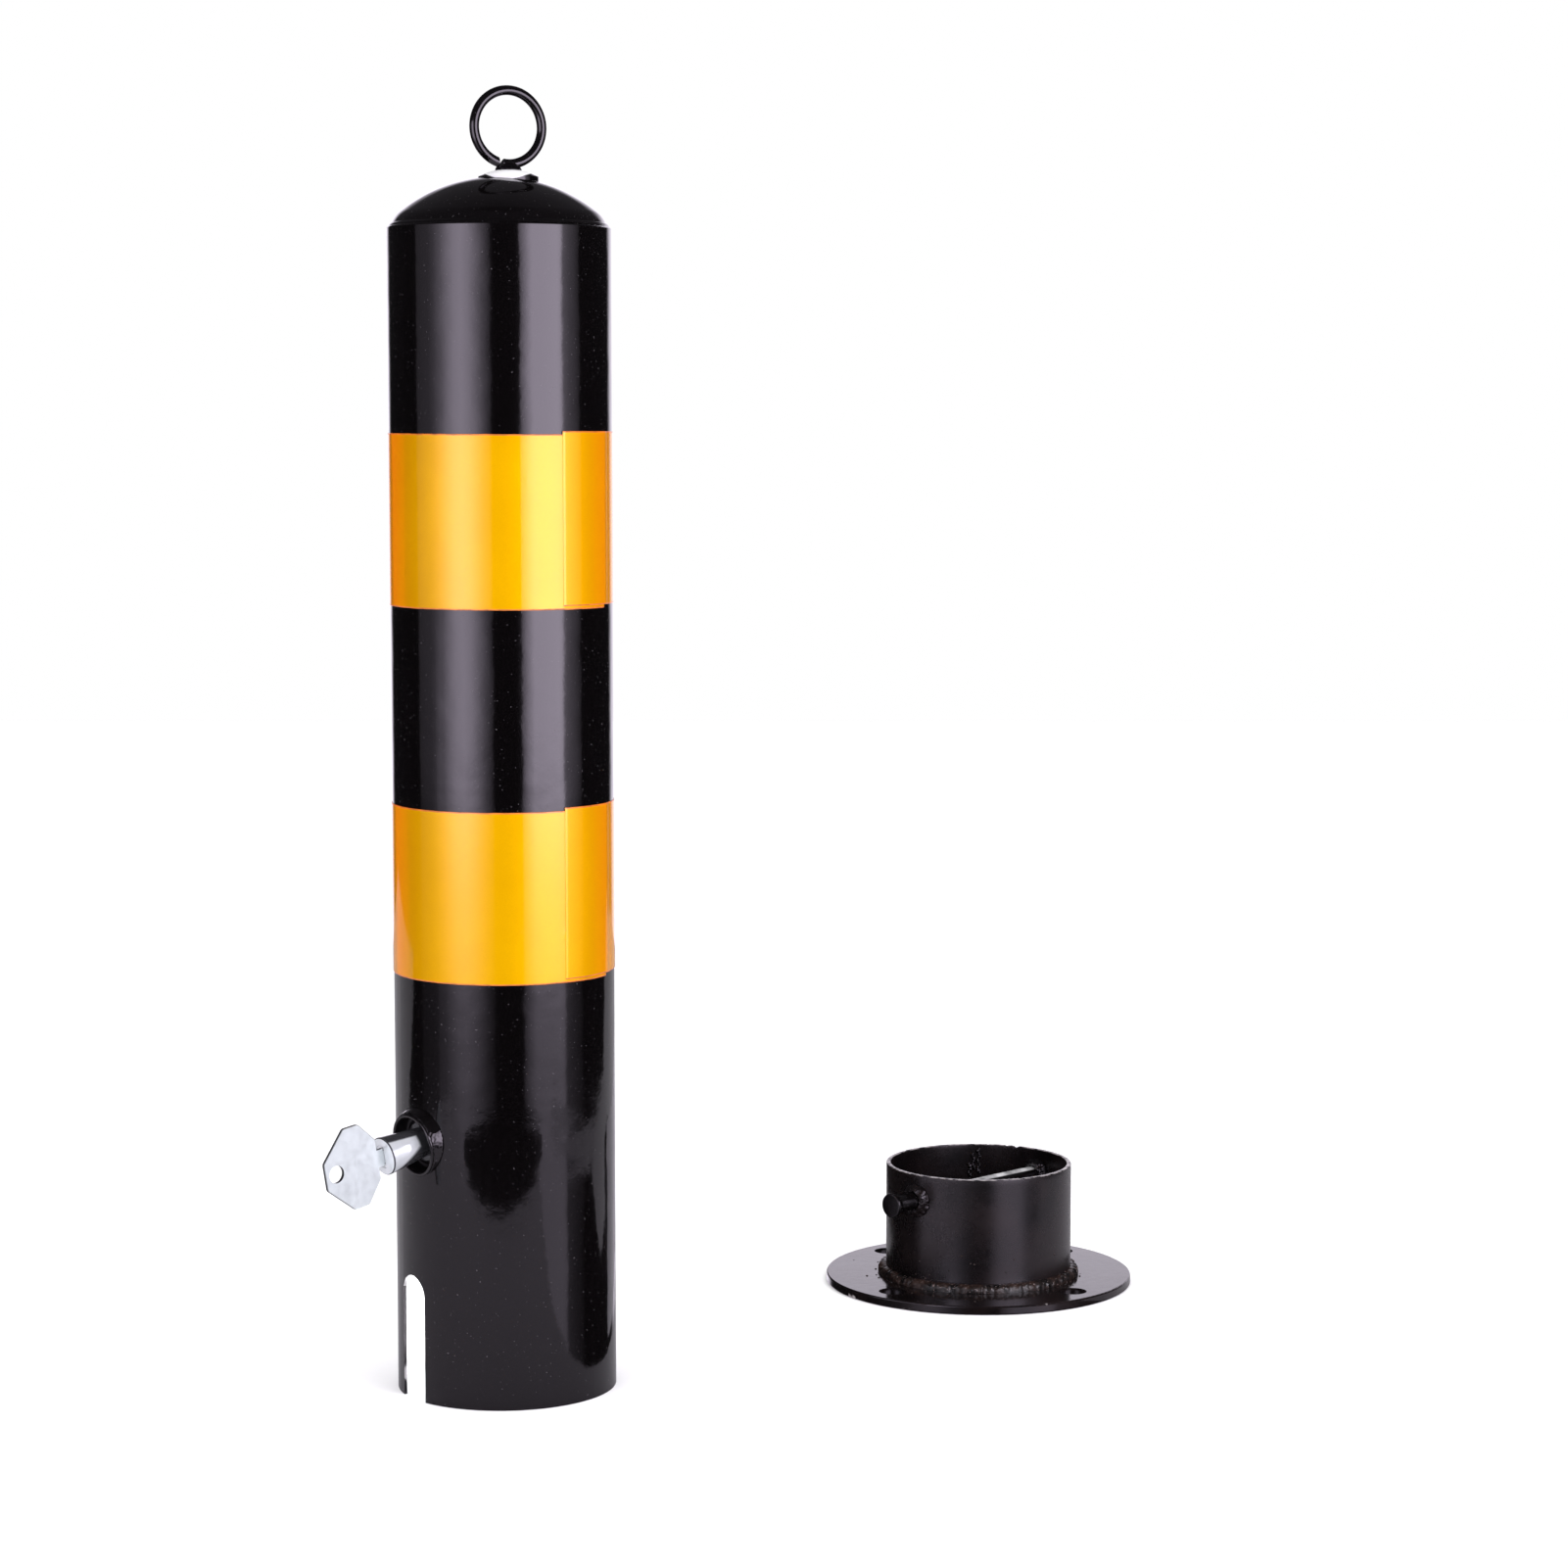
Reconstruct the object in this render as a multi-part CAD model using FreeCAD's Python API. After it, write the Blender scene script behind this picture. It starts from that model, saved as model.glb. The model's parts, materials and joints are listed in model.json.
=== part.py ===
import FreeCAD, Part
import math
import os

V = FreeCAD.Vector

# Removable bollard, lifted off its base plate and standing beside it.
# Millimetres. +Z is up, the front is -Y, and the ground is Z = 0.
# The origin is the centre of the anchor-hole circle on the flange's underside.
# Azimuths turn from the front (-Y) towards the left (-X).

# Post tube
POST_DIAMETER = 114.0
POST_WALL = 2.0
POST_HEIGHT = 600.0
POST_RIM_ROUND = 1.0
POST_X = -259.0
POST_Y = -233.0

# Locating slot in the foot of the post
SLOT_AZIMUTH = 54.0
SLOT_SIDE_CLEARANCE = 5.25
SLOT_TOP_CLEARANCE = 8.5

# Domed cap, pushed into the tube and welded round its rim
CAP_SHEET = 2.0
CAP_CLEARANCE = 0.1
CAP_SKIRT = 12.0
CAP_SINK = 2.0
CROWN_RADIUS = 80.0
KNUCKLE_RADIUS = 12.0
CAP_WELD_LEG = 1.8

# Lifting ring on its button seat
SEAT_DIAMETER = 31.0
SEAT_HEIGHT = 3.8
SEAT_SKIRT = 3.2
SEAT_EDGE = 0.2
SEAT_EDGE_ROUND = 0.5
SEAT_OFFSET = 5.0
RING_DIAMETER = 42.0
RING_ROD = 5.0
RING_TURN = 27.0
RING_GAP_ANGLE = 14.0
RING_GAP_OUTER = 0.8
RING_GAP_INNER = 3.2
RING_WELD_WIDTH = 14.0
RING_WELD_HEIGHT = 4.2
RING_WELD_ROOT = 1.8

# Reflective bands
BAND_HEIGHT = 87.5
LOWER_BAND_BOTTOM = 218.5
BAND_SPACING = 189.0
BAND_FILM = 0.35
BAND_LAP_START = 37.0
BAND_LAP_END = 69.0
BAND_LAP_RISE = 1.8

# Lock: a collar in the wall of the post, and a barrel inside it
LOCK_AZIMUTH = 48.0
LOCK_HEIGHT = 134.5
LOCK_TILT = 10.0
COLLAR_DIAMETER = 33.0
COLLAR_LENGTH = 20.5
COLLAR_PROUD = 3.3
COLLAR_RIM = 1.8
COLLAR_RECESS = 8.0
COLLAR_WELD = 3.0
COLLAR_WELD_FOOT = 4.0
BARREL_DIAMETER = 20.0
BARREL_LENGTH = 50.0
BARREL_REACH = 22.0
BARREL_EDGE = 0.8
BARREL_WAIST = 15.5
BARREL_LAND = 0.8
CHAMBER_RELIEF = 0.6
CLIP_THICKNESS = 1.2
CLIP_DEPTH = 0.9
CLIP_WIDTH = 3.0
NUT_FLATS = 27.0
NUT_THICKNESS = 6.0

# Plug, wafers and key
PLUG_DIAMETER = 12.0
PLUG_RECESS = 0.3
TAIL_DIAMETER = 8.0
TAIL_FLATS = 6.4
WAFER_COUNT = 5
WAFER_THICKNESS = 1.0
WAFER_WIDTH = 6.4
WAFER_SPACING = 3.6
FIRST_WAFER_DEPTH = 7.0
WAFER_RIM = 1.9
KEY_THICKNESS = 2.0
BLADE_HEIGHT = 6.4
BLADE_TIP = 4.0
CUT_STEP = 0.4
NECK_HEIGHT = 9.0
BOW_GAP = 3.6
BOW_LENGTH = 32.4
BOW_HEIGHT = 43.0
BOW_NECK_HEIGHT = 21.0
BOW_SHOULDER_REACH = 8.9
BOW_SHOULDER_HEIGHT = 42.4
BOW_HIP_REACH = 17.9
BOW_END_HEIGHT = 14.0
BOW_ROUND = 2.5
KEY_HOLE_DIAMETER = 9.0
KEY_HOLE_EDGE = 2.0
KEY_EDGE = 0.3

# Hook that hangs from the plug and catches under the cross bar of the base
KEY_SWING = 18.0
TONGUE_ANGLE = 20.0
TONGUE_LENGTH = 1.7
TONGUE_WALL = 2.0
STOP_THICKNESS = 1.5
STOP_DIAMETER = 19.0
ARM_THICKNESS = 4.0
ARM_BOSS = 20.0
ARM_WIDTH = 7.5
ARM_OFFSET = 2.5
ARM_ROUND = 2.0
HOOK_OVERLAP = 5.0
HOOK_CLEARANCE = 1.2
TAIL_WASHER_DIAMETER = 16.0
TAIL_WASHER_THICKNESS = 1.2
TAIL_NUT_FLATS = 13.0
TAIL_NUT_THICKNESS = 6.5
TAIL_END = 1.0

# Base: flange, sleeve and cross bar
FLANGE_DIAMETER = 178.0
FLANGE_THICKNESS = 5.0
FLANGE_ROUND = 0.8
ANCHOR_HOLE = 16.0
ANCHOR_EDGE_WALL = 8.0
ANCHOR_COUNT = 4
ANCHOR_PHASE = 45.0
SLEEVE_CLEARANCE = 1.0
SLEEVE_WALL = 2.5
SLEEVE_HEIGHT = 65.0
SLEEVE_EDGE = 0.5
BAR_DIAMETER = 10.5
BAR_HEIGHT = 50.0
BAR_AZIMUTH = 45.0
STUB_REACH = 21.0
STUB_HEAD_DIAMETER = 15.0
STUB_HEAD_LENGTH = 5.0
STUB_HEAD_ROUND = 0.8
BASE_WELD_LEG = 4.5
WELD_FULLNESS = 0.62
BAR_WELD_LEG = 4.5
BAR_WELD_REACH = 3.6

# Clearances and edges shared by several pieces
TURNED_EDGE = 0.5
OVERCUT = 1.0
SEAT_GAP = 0.1
RUNNING_GAP = 0.06
KEY_GAP = 0.15
STOP_GAP = 0.15
STOP_ANGLE_GAP = 2.0
POCKET_GAP = 0.3

# Sizes that follow from the ones above
POST_RADIUS = POST_DIAMETER / 2
BORE_RADIUS = POST_RADIUS - POST_WALL
SLEEVE_RADIUS = BORE_RADIUS - SLEEVE_CLEARANCE
SLEEVE_BORE = SLEEVE_RADIUS - SLEEVE_WALL
BAR_RADIUS = BAR_DIAMETER / 2
ANCHOR_CIRCLE = FLANGE_DIAMETER - ANCHOR_HOLE - 2 * ANCHOR_EDGE_WALL

# The post comes down over the sleeve and stands on the rounded weld at the sleeve's foot,
# so the cross bar lies a little lower in the post than above the flange.
WELD_INNER = SLEEVE_RADIUS + SEAT_GAP
WELD_CENTRE = BASE_WELD_LEG * (2 * WELD_FULLNESS ** 2 - 1) / (4 * WELD_FULLNESS - 2)
WELD_ROUND = math.hypot(BASE_WELD_LEG - WELD_CENTRE, WELD_CENTRE)
WELD_REACH = BORE_RADIUS - WELD_INNER - WELD_CENTRE
POST_LIFT = WELD_CENTRE + math.sqrt(WELD_ROUND ** 2 - WELD_REACH ** 2)
BAR_IN_POST = BAR_HEIGHT - POST_LIFT
SLOT_WIDTH = BAR_DIAMETER + 2 * SLOT_SIDE_CLEARANCE
SLOT_HEIGHT = BAR_IN_POST + SLOT_WIDTH / 2 + SLOT_TOP_CLEARANCE

CAP_RADIUS = BORE_RADIUS - CAP_CLEARANCE
KNUCKLE_CENTRE = CAP_RADIUS - KNUCKLE_RADIUS
KNUCKLE_Z = POST_HEIGHT - CAP_SINK
CROWN_Z = KNUCKLE_Z - math.sqrt((CROWN_RADIUS - KNUCKLE_RADIUS) ** 2 - KNUCKLE_CENTRE ** 2)
CAP_TOP = CROWN_Z + CROWN_RADIUS
SEAT_TOP = CAP_TOP + SEAT_HEIGHT
RING_Z = SEAT_TOP + SEAT_GAP + RING_DIAMETER / 2

COLLAR_FACE = POST_RADIUS + COLLAR_PROUD
COLLAR_BACK = COLLAR_FACE - COLLAR_LENGTH
COLLAR_FLOOR = COLLAR_FACE - COLLAR_RECESS
BARREL_FACE = POST_RADIUS + BARREL_REACH
BARREL_BACK = BARREL_FACE - BARREL_LENGTH
PLUG_RADIUS = PLUG_DIAMETER / 2
PLUG_FACE = BARREL_FACE - PLUG_RECESS
STOP_FACE = BARREL_BACK - STOP_GAP
ARM_FACE = STOP_FACE - STOP_THICKNESS
WASHER_FACE = ARM_FACE - ARM_THICKNESS
TAIL_NUT_FACE = WASHER_FACE - TAIL_WASHER_THICKNESS
TAIL_BACK = TAIL_NUT_FACE - TAIL_NUT_THICKNESS - TAIL_END
BOW_FACE = BARREL_FACE + BOW_GAP
LAST_WAFER_DEPTH = FIRST_WAFER_DEPTH + (WAFER_COUNT - 1) * WAFER_SPACING


def tube(outer, inner, bottom, top):
    """Upright tube about the Z axis."""
    wall = Part.makeCylinder(outer, top - bottom, V(0, 0, bottom))
    bore = Part.makeCylinder(inner, top - bottom, V(0, 0, bottom))
    return wall.cut(bore)


def rod_x(radius, start, end):
    """Round rod along the X axis."""
    return Part.makeCylinder(radius, end - start, V(start, 0, 0), V(1, 0, 0))


def block(low, high):
    """Box between two opposite corners."""
    return Part.makeBox(high[0] - low[0], high[1] - low[1], high[2] - low[2], V(*low))


def revolved(edges, base, axis):
    """Solid of revolution from a closed chain of edges."""
    face = Part.Face(Part.Wire(edges))
    return face.revolve(base, axis, 360)


def chain(points):
    """Straight edges through the points and back to the first."""
    closed = points + points[:1]
    return [Part.LineSegment(a, b).toShape() for a, b in zip(closed, closed[1:])]


def hex_x(flats, start, end):
    """Hexagonal prism along the X axis."""
    corner = flats / math.sqrt(3)
    turns = [math.radians(60 * i) for i in range(6)]
    points = [V(start, corner * math.cos(t), corner * math.sin(t)) for t in turns]
    return Part.Face(Part.Wire(chain(points))).extrude(V(end - start, 0, 0))


def turned(shape, azimuth):
    """Turns a shape that points along +X to an azimuth about the Z axis."""
    out = shape.copy()
    out.rotate(V(0, 0, 0), V(0, 0, 1), 270.0 - azimuth)
    return out


def on_post(shape):
    """Moves a shape from the post's own axis to where the post stands."""
    return shape.translated(V(POST_X, POST_Y, 0))


def on_lock(shape):
    """Moves a shape from the lock's own axis to the wall of the post, which it meets tilted."""
    out = shape.copy()
    out.rotate(V(POST_RADIUS, 0, 0), V(0, 1, 0), LOCK_TILT)
    out.translate(V(0, 0, LOCK_HEIGHT))
    return turned(out, LOCK_AZIMUTH)


def sector(radius, low, high, start, end):
    """Pie slice about the Z axis between two azimuths that turn to the right."""
    slice_ = Part.makeCylinder(radius, high - low, V(0, 0, low), V(0, 0, 1), end - start)
    slice_.rotate(V(0, 0, 0), V(0, 0, 1), start - 90.0)
    return slice_


# Base

def base_flange():
    radius = FLANGE_DIAMETER / 2
    disc = Part.makeCylinder(radius, FLANGE_THICKNESS)
    disc = disc.makeFillet(FLANGE_ROUND, [e for e in disc.Edges if len(e.Vertexes) == 1])
    for i in range(ANCHOR_COUNT):
        turn = math.radians(ANCHOR_PHASE + 360.0 * i / ANCHOR_COUNT)
        centre = V(math.cos(turn), math.sin(turn), 0) * (ANCHOR_CIRCLE / 2)
        disc = disc.cut(Part.makeCylinder(ANCHOR_HOLE / 2, FLANGE_THICKNESS, centre))
    return disc


def base_sleeve():
    top = FLANGE_THICKNESS + SLEEVE_HEIGHT
    sleeve = tube(SLEEVE_RADIUS, SLEEVE_BORE, FLANGE_THICKNESS, top)
    rim = [e for e in sleeve.Edges if len(e.Vertexes) == 1 and abs(e.CenterOfMass.z - top) < 0.01]
    sleeve = sleeve.makeFillet(SLEEVE_EDGE, rim)
    hole = rod_x(BAR_RADIUS + SEAT_GAP, 0, SLEEVE_RADIUS + OVERCUT)
    hole.translate(V(0, 0, FLANGE_THICKNESS + BAR_HEIGHT))
    return sleeve.cut(turned(hole, BAR_AZIMUTH))


def base_weld():
    corner = V(WELD_INNER, 0, FLANGE_THICKNESS)
    foot = V(WELD_INNER + BASE_WELD_LEG, 0, FLANGE_THICKNESS)
    head = V(WELD_INNER, 0, FLANGE_THICKNESS + BASE_WELD_LEG)
    full = BASE_WELD_LEG * WELD_FULLNESS
    belly = V(WELD_INNER + full, 0, FLANGE_THICKNESS + full)
    edges = [Part.LineSegment(corner, foot).toShape(), Part.Arc(foot, belly, head).toShape(),
             Part.LineSegment(head, corner).toShape()]
    return revolved(edges, V(0, 0, 0), V(0, 0, 1))


def cross_bar():
    tip = SLEEVE_RADIUS + STUB_REACH
    neck = tip - STUB_HEAD_LENGTH
    half_chord = math.sqrt(SLEEVE_BORE ** 2 - BAR_RADIUS ** 2)
    bar = rod_x(BAR_RADIUS, -half_chord + SEAT_GAP, neck)
    flare = Part.makeCone(BAR_RADIUS, STUB_HEAD_DIAMETER / 2, STUB_HEAD_LENGTH, V(neck, 0, 0), V(1, 0, 0))
    end = [e for e in flare.Edges if len(e.Vertexes) == 1 and e.CenterOfMass.x > tip - 0.01]
    flare = flare.makeFillet(STUB_HEAD_ROUND, end)
    bar = bar.fuse(flare).removeSplitter()
    bar.translate(V(0, 0, FLANGE_THICKNESS + BAR_HEIGHT))
    return turned(bar, BAR_AZIMUTH)


def bar_weld_bead(wall, out):
    """Round bead about the bar, standing on the wall plane and pointing to out (+1 or -1)."""
    inner = BAR_RADIUS + SEAT_GAP
    root = wall - out * BAR_WELD_LEG
    reach = wall + out * BAR_WELD_REACH
    rim = inner + BAR_WELD_LEG
    belly = V(wall + out * BAR_WELD_REACH * WELD_FULLNESS, 0, inner + BAR_WELD_LEG * WELD_FULLNESS)
    a, b, c, d = V(root, 0, inner), V(root, 0, rim), V(wall, 0, rim), V(reach, 0, inner)
    edges = [Part.LineSegment(a, b).toShape(), Part.LineSegment(b, c).toShape(),
             Part.Arc(c, belly, d).toShape(), Part.LineSegment(d, a).toShape()]
    bead = revolved(edges, V(0, 0, 0), V(1, 0, 0))
    bead.translate(V(0, 0, FLANGE_THICKNESS + BAR_HEIGHT))
    return bead


def stub_weld():
    bead = bar_weld_bead(SLEEVE_RADIUS, 1)
    wall = Part.makeCylinder(SLEEVE_RADIUS + SEAT_GAP, FLANGE_THICKNESS + SLEEVE_HEIGHT)
    return turned(bead.cut(wall), BAR_AZIMUTH)


def bar_end_weld():
    wall = math.sqrt(SLEEVE_BORE ** 2 - (BAR_RADIUS + BAR_WELD_LEG) ** 2)
    bead = bar_weld_bead(-wall, 1)
    room = Part.makeCylinder(SLEEVE_BORE - SEAT_GAP, FLANGE_THICKNESS + SLEEVE_HEIGHT)
    return turned(bead.common(room), BAR_AZIMUTH)


# Post

def post_tube():
    post = tube(POST_RADIUS, BORE_RADIUS, 0, POST_HEIGHT)
    rim = [e for e in post.Edges if len(e.Vertexes) == 1 and e.BoundBox.XMax > BORE_RADIUS + 0.01
           and e.CenterOfMass.z > POST_HEIGHT - 0.01]
    post = post.makeFillet(POST_RIM_ROUND, rim)
    half = SLOT_WIDTH / 2
    shoulder = SLOT_HEIGHT - half
    slot = block((0, -half, 0), (POST_RADIUS + OVERCUT, half, shoulder))
    arch = rod_x(half, 0, POST_RADIUS + OVERCUT)
    arch.translate(V(0, 0, shoulder))
    post = post.cut(turned(slot.fuse(arch), SLOT_AZIMUTH))
    opening = rod_x(COLLAR_DIAMETER / 2 + SEAT_GAP, COLLAR_BACK, COLLAR_FACE)
    return on_post(post.cut(on_lock(opening)))


def dome_cap():
    """Dished end: a crown, a tighter knuckle and a short straight skirt, of one sheet."""
    def line_of(inset):
        crown = CROWN_RADIUS - inset
        knuckle = KNUCKLE_RADIUS - inset
        lean = math.asin(KNUCKLE_CENTRE / (CROWN_RADIUS - KNUCKLE_RADIUS))
        half = lean / 2
        mid = (lean + math.pi / 2) / 2
        top = V(0, 0, CROWN_Z + crown)
        shoulder = V(crown * math.sin(half), 0, CROWN_Z + crown * math.cos(half))
        join = V(crown * math.sin(lean), 0, CROWN_Z + crown * math.cos(lean))
        bend = V(KNUCKLE_CENTRE + knuckle * math.sin(mid), 0, KNUCKLE_Z + knuckle * math.cos(mid))
        side = V(KNUCKLE_CENTRE + knuckle, 0, KNUCKLE_Z)
        foot = V(side.x, 0, KNUCKLE_Z - CAP_SKIRT)
        arcs = [Part.Arc(top, shoulder, join).toShape(), Part.Arc(join, bend, side).toShape(),
                Part.LineSegment(side, foot).toShape()]
        return top, foot, arcs

    top_out, foot_out, outer = line_of(0)
    top_in, foot_in, inner = line_of(CAP_SHEET)
    ends = [Part.LineSegment(foot_out, foot_in).toShape(), Part.LineSegment(top_in, top_out).toShape()]
    edges = outer + ends[:1] + inner[::-1] + ends[1:]
    return on_post(revolved(edges, V(0, 0, 0), V(0, 0, 1)))


def cap_weld():
    """Bead in the corner between the rim of the tube and the knuckle of the cap."""
    def knuckle_at(z):
        return KNUCKLE_CENTRE + math.sqrt(KNUCKLE_RADIUS ** 2 - (z - KNUCKLE_Z) ** 2)

    low = POST_HEIGHT
    high = POST_HEIGHT + CAP_WELD_LEG
    inner = knuckle_at(low) + SEAT_GAP
    outer = POST_RADIUS - POST_RIM_ROUND
    upper = knuckle_at(high) + SEAT_GAP
    a, b, c = V(inner, 0, low), V(outer, 0, low), V(upper, 0, high)
    belly = V(inner + (outer - inner) * WELD_FULLNESS, 0, low + CAP_WELD_LEG * WELD_FULLNESS)
    edges = [Part.LineSegment(a, b).toShape(), Part.Arc(b, belly, c).toShape(),
             Part.LineSegment(c, a).toShape()]
    return on_post(revolved(edges, V(0, 0, 0), V(0, 0, 1)))


def crowned(rim, top):
    """Arc from a rim point up to the Z axis, part of a sphere centred on that axis."""
    rise = top.z - rim.z
    radius = (rise ** 2 + rim.x ** 2) / (2 * rise)
    half = math.atan2(rim.x, radius - rise) / 2
    middle = V(radius * math.sin(half), 0, top.z - radius + radius * math.cos(half))
    return Part.Arc(rim, middle, top).toShape()


def seat_on_axis():
    """Low crowned button whose underside follows the crown of the cap."""
    radius = SEAT_DIAMETER / 2
    bottom = CAP_TOP - SEAT_SKIRT
    edge_top = CAP_TOP + SEAT_EDGE
    a, b = V(0, 0, bottom), V(radius, 0, bottom)
    c, d = V(radius, 0, edge_top - SEAT_EDGE_ROUND), V(radius - SEAT_EDGE_ROUND, 0, edge_top)
    middle = SEAT_EDGE_ROUND * (1 - math.sqrt(0.5))
    round_ = V(radius - middle, 0, edge_top - middle)
    top = V(0, 0, SEAT_TOP)
    edges = [Part.LineSegment(a, b).toShape(), Part.LineSegment(b, c).toShape(),
             Part.Arc(c, round_, d).toShape(), crowned(d, top),
             Part.LineSegment(top, a).toShape()]
    button = revolved(edges, V(0, 0, 0), V(0, 0, 1))
    crown = Part.makeSphere(CROWN_RADIUS + SEAT_GAP, V(-SEAT_OFFSET, 0, CROWN_Z))
    return button.cut(crown)


def ring_on_axis(rod_radius):
    """Open ring in the XZ plane; its ends meet low on the left."""
    middle = (RING_DIAMETER - RING_ROD) / 2
    ring = Part.makeTorus(middle, rod_radius, V(0, 0, 0), V(0, 1, 0))
    near = middle - rod_radius - OVERCUT
    far = middle + rod_radius + OVERCUT
    inner = RING_GAP_INNER / 2
    outer = RING_GAP_OUTER / 2
    side = rod_radius + OVERCUT
    points = [V(-inner, -side, -near), V(inner, -side, -near), V(outer, -side, -far), V(-outer, -side, -far)]
    wedge = Part.Face(Part.Wire(chain(points))).extrude(V(0, 2 * side, 0))
    wedge.rotate(V(0, 0, 0), V(0, 1, 0), RING_GAP_ANGLE)
    ring = ring.cut(wedge)
    ring.rotate(V(0, 0, 0), V(0, 0, 1), RING_TURN)
    ring.translate(V(0, 0, RING_Z))
    return ring


def on_seat(shape):
    return on_post(shape.translated(V(SEAT_OFFSET, 0, 0)))


def ring_seat():
    return on_seat(seat_on_axis())


def lifting_ring():
    return on_seat(ring_on_axis(RING_ROD / 2))


def ring_weld():
    """Low mound on the button that holds the lowest part of the ring."""
    low = SEAT_TOP - RING_WELD_ROOT
    foot = V(RING_WELD_WIDTH / 2, 0, low)
    top = V(0, 0, SEAT_TOP + RING_WELD_HEIGHT)
    base = V(0, 0, low)
    edges = [Part.LineSegment(base, foot).toShape(), crowned(foot, top),
             Part.LineSegment(top, base).toShape()]
    mound = revolved(edges, V(0, 0, 0), V(0, 0, 1))
    middle = (RING_DIAMETER - RING_ROD) / 2
    channel = Part.makeTorus(middle, RING_ROD / 2 + SEAT_GAP, V(0, 0, 0), V(0, 1, 0))
    channel.rotate(V(0, 0, 0), V(0, 0, 1), RING_TURN)
    channel.translate(V(0, 0, RING_Z))
    return on_seat(mound.cut(channel).cut(seat_on_axis()))


def band(bottom):
    """One turn of film whose last stretch laps over its first, a little higher."""
    inner = POST_RADIUS + SEAT_GAP / 2
    middle = inner + BAND_FILM
    turn = tube(middle, inner, bottom, bottom + BAND_HEIGHT)
    low = bottom + BAND_LAP_RISE
    high = low + BAND_HEIGHT
    outer = sector(middle + BAND_FILM, low, high, BAND_LAP_START, BAND_LAP_END)
    lap = outer.cut(Part.makeCylinder(middle, high - low, V(0, 0, low)))
    rise = sector(middle, bottom + BAND_HEIGHT, high, BAND_LAP_START, BAND_LAP_END)
    rise = rise.cut(Part.makeCylinder(inner, high, V(0, 0, 0)))
    return on_post(turn.fuse(rise).fuse(lap).removeSplitter())


def lower_band():
    return band(LOWER_BAND_BOTTOM)


def upper_band():
    return band(LOWER_BAND_BOTTOM + BAND_SPACING)


# Lock

def lock_collar():
    """Turned housing with a deep recess in front and a close bore behind."""
    collar = rod_x(COLLAR_DIAMETER / 2, COLLAR_BACK, COLLAR_FACE)
    collar = collar.makeChamfer(TURNED_EDGE, [e for e in collar.Edges if len(e.Vertexes) == 1])
    recess = rod_x(COLLAR_DIAMETER / 2 - COLLAR_RIM, COLLAR_FLOOR, COLLAR_FACE)
    bore = rod_x(BARREL_DIAMETER / 2 + SEAT_GAP, COLLAR_BACK, COLLAR_FACE)
    return on_post(on_lock(collar.cut(recess).cut(bore)))


def collar_weld():
    """Bead on the outside of the post round the collar."""
    inner = COLLAR_DIAMETER / 2 + SEAT_GAP
    sag = POST_RADIUS - math.sqrt(POST_RADIUS ** 2 - inner ** 2)
    lean = math.tan(math.radians(LOCK_TILT)) * (inner + COLLAR_WELD)
    back = POST_RADIUS - sag - lean - COLLAR_WELD
    front = COLLAR_FACE - TURNED_EDGE
    cone = Part.makeCone(inner + COLLAR_WELD_FOOT, inner + SEAT_GAP, front - back, V(back, 0, 0), V(1, 0, 0))
    bead = on_lock(cone.cut(rod_x(inner, back, front)))
    wall = Part.makeCylinder(POST_RADIUS + SEAT_GAP / 2, POST_HEIGHT)
    return on_post(bead.cut(wall))


def lock_barrel():
    """Round body whose head widens from a waist, just in front of the clip, to its face."""
    waist = COLLAR_FLOOR + CLIP_THICKNESS + SEAT_GAP + BARREL_LAND
    head = Part.makeCone(BARREL_WAIST / 2, BARREL_DIAMETER / 2, BARREL_FACE - waist,
                         V(waist, 0, 0), V(1, 0, 0))
    head = head.makeFillet(BARREL_EDGE, [e for e in head.Edges if len(e.Vertexes) == 1
                                         and e.CenterOfMass.x > BARREL_FACE - 0.01])
    barrel = rod_x(BARREL_DIAMETER / 2, BARREL_BACK, waist).fuse(head).removeSplitter()
    barrel = barrel.cut(rod_x(PLUG_RADIUS + RUNNING_GAP, BARREL_BACK, BARREL_FACE))
    clip = rod_x(BARREL_DIAMETER / 2, COLLAR_FLOOR, COLLAR_FLOOR + CLIP_THICKNESS + SEAT_GAP)
    core = rod_x(BARREL_DIAMETER / 2 - CLIP_DEPTH - SEAT_GAP, COLLAR_FLOOR,
                 COLLAR_FLOOR + CLIP_THICKNESS + SEAT_GAP)
    barrel = barrel.cut(clip.cut(core))
    half = WAFER_WIDTH / 2 + RUNNING_GAP
    depth = PLUG_RADIUS + CHAMBER_RELIEF
    start = PLUG_FACE - LAST_WAFER_DEPTH - WAFER_THICKNESS
    end = PLUG_FACE - FIRST_WAFER_DEPTH + WAFER_THICKNESS
    barrel = barrel.cut(block((start, -half, -depth), (end, half, depth)))
    start_angle = 90.0 - TONGUE_ANGLE / 2 - STOP_ANGLE_GAP
    sweep = TONGUE_ANGLE + KEY_SWING + 2 * STOP_ANGLE_GAP
    outer = PLUG_RADIUS + TONGUE_WALL + POCKET_GAP
    pocket = stop_slice(outer, BARREL_BACK, BARREL_BACK + TONGUE_LENGTH + SEAT_GAP, start_angle, sweep)
    return on_post(on_lock(barrel.cut(pocket)))


def stop_slice(radius, start, end, angle, sweep):
    """Pie slice about the X axis; angles turn from +Y towards +Z."""
    slice_ = Part.makeCylinder(radius, end - start, V(0, 0, 0), V(0, 0, 1), sweep)
    slice_.rotate(V(0, 0, 0), V(0, 0, 1), angle)
    slice_.rotate(V(0, 0, 0), V(1, 1, 1), 120.0)
    slice_.translate(V(start, 0, 0))
    return slice_


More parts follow.
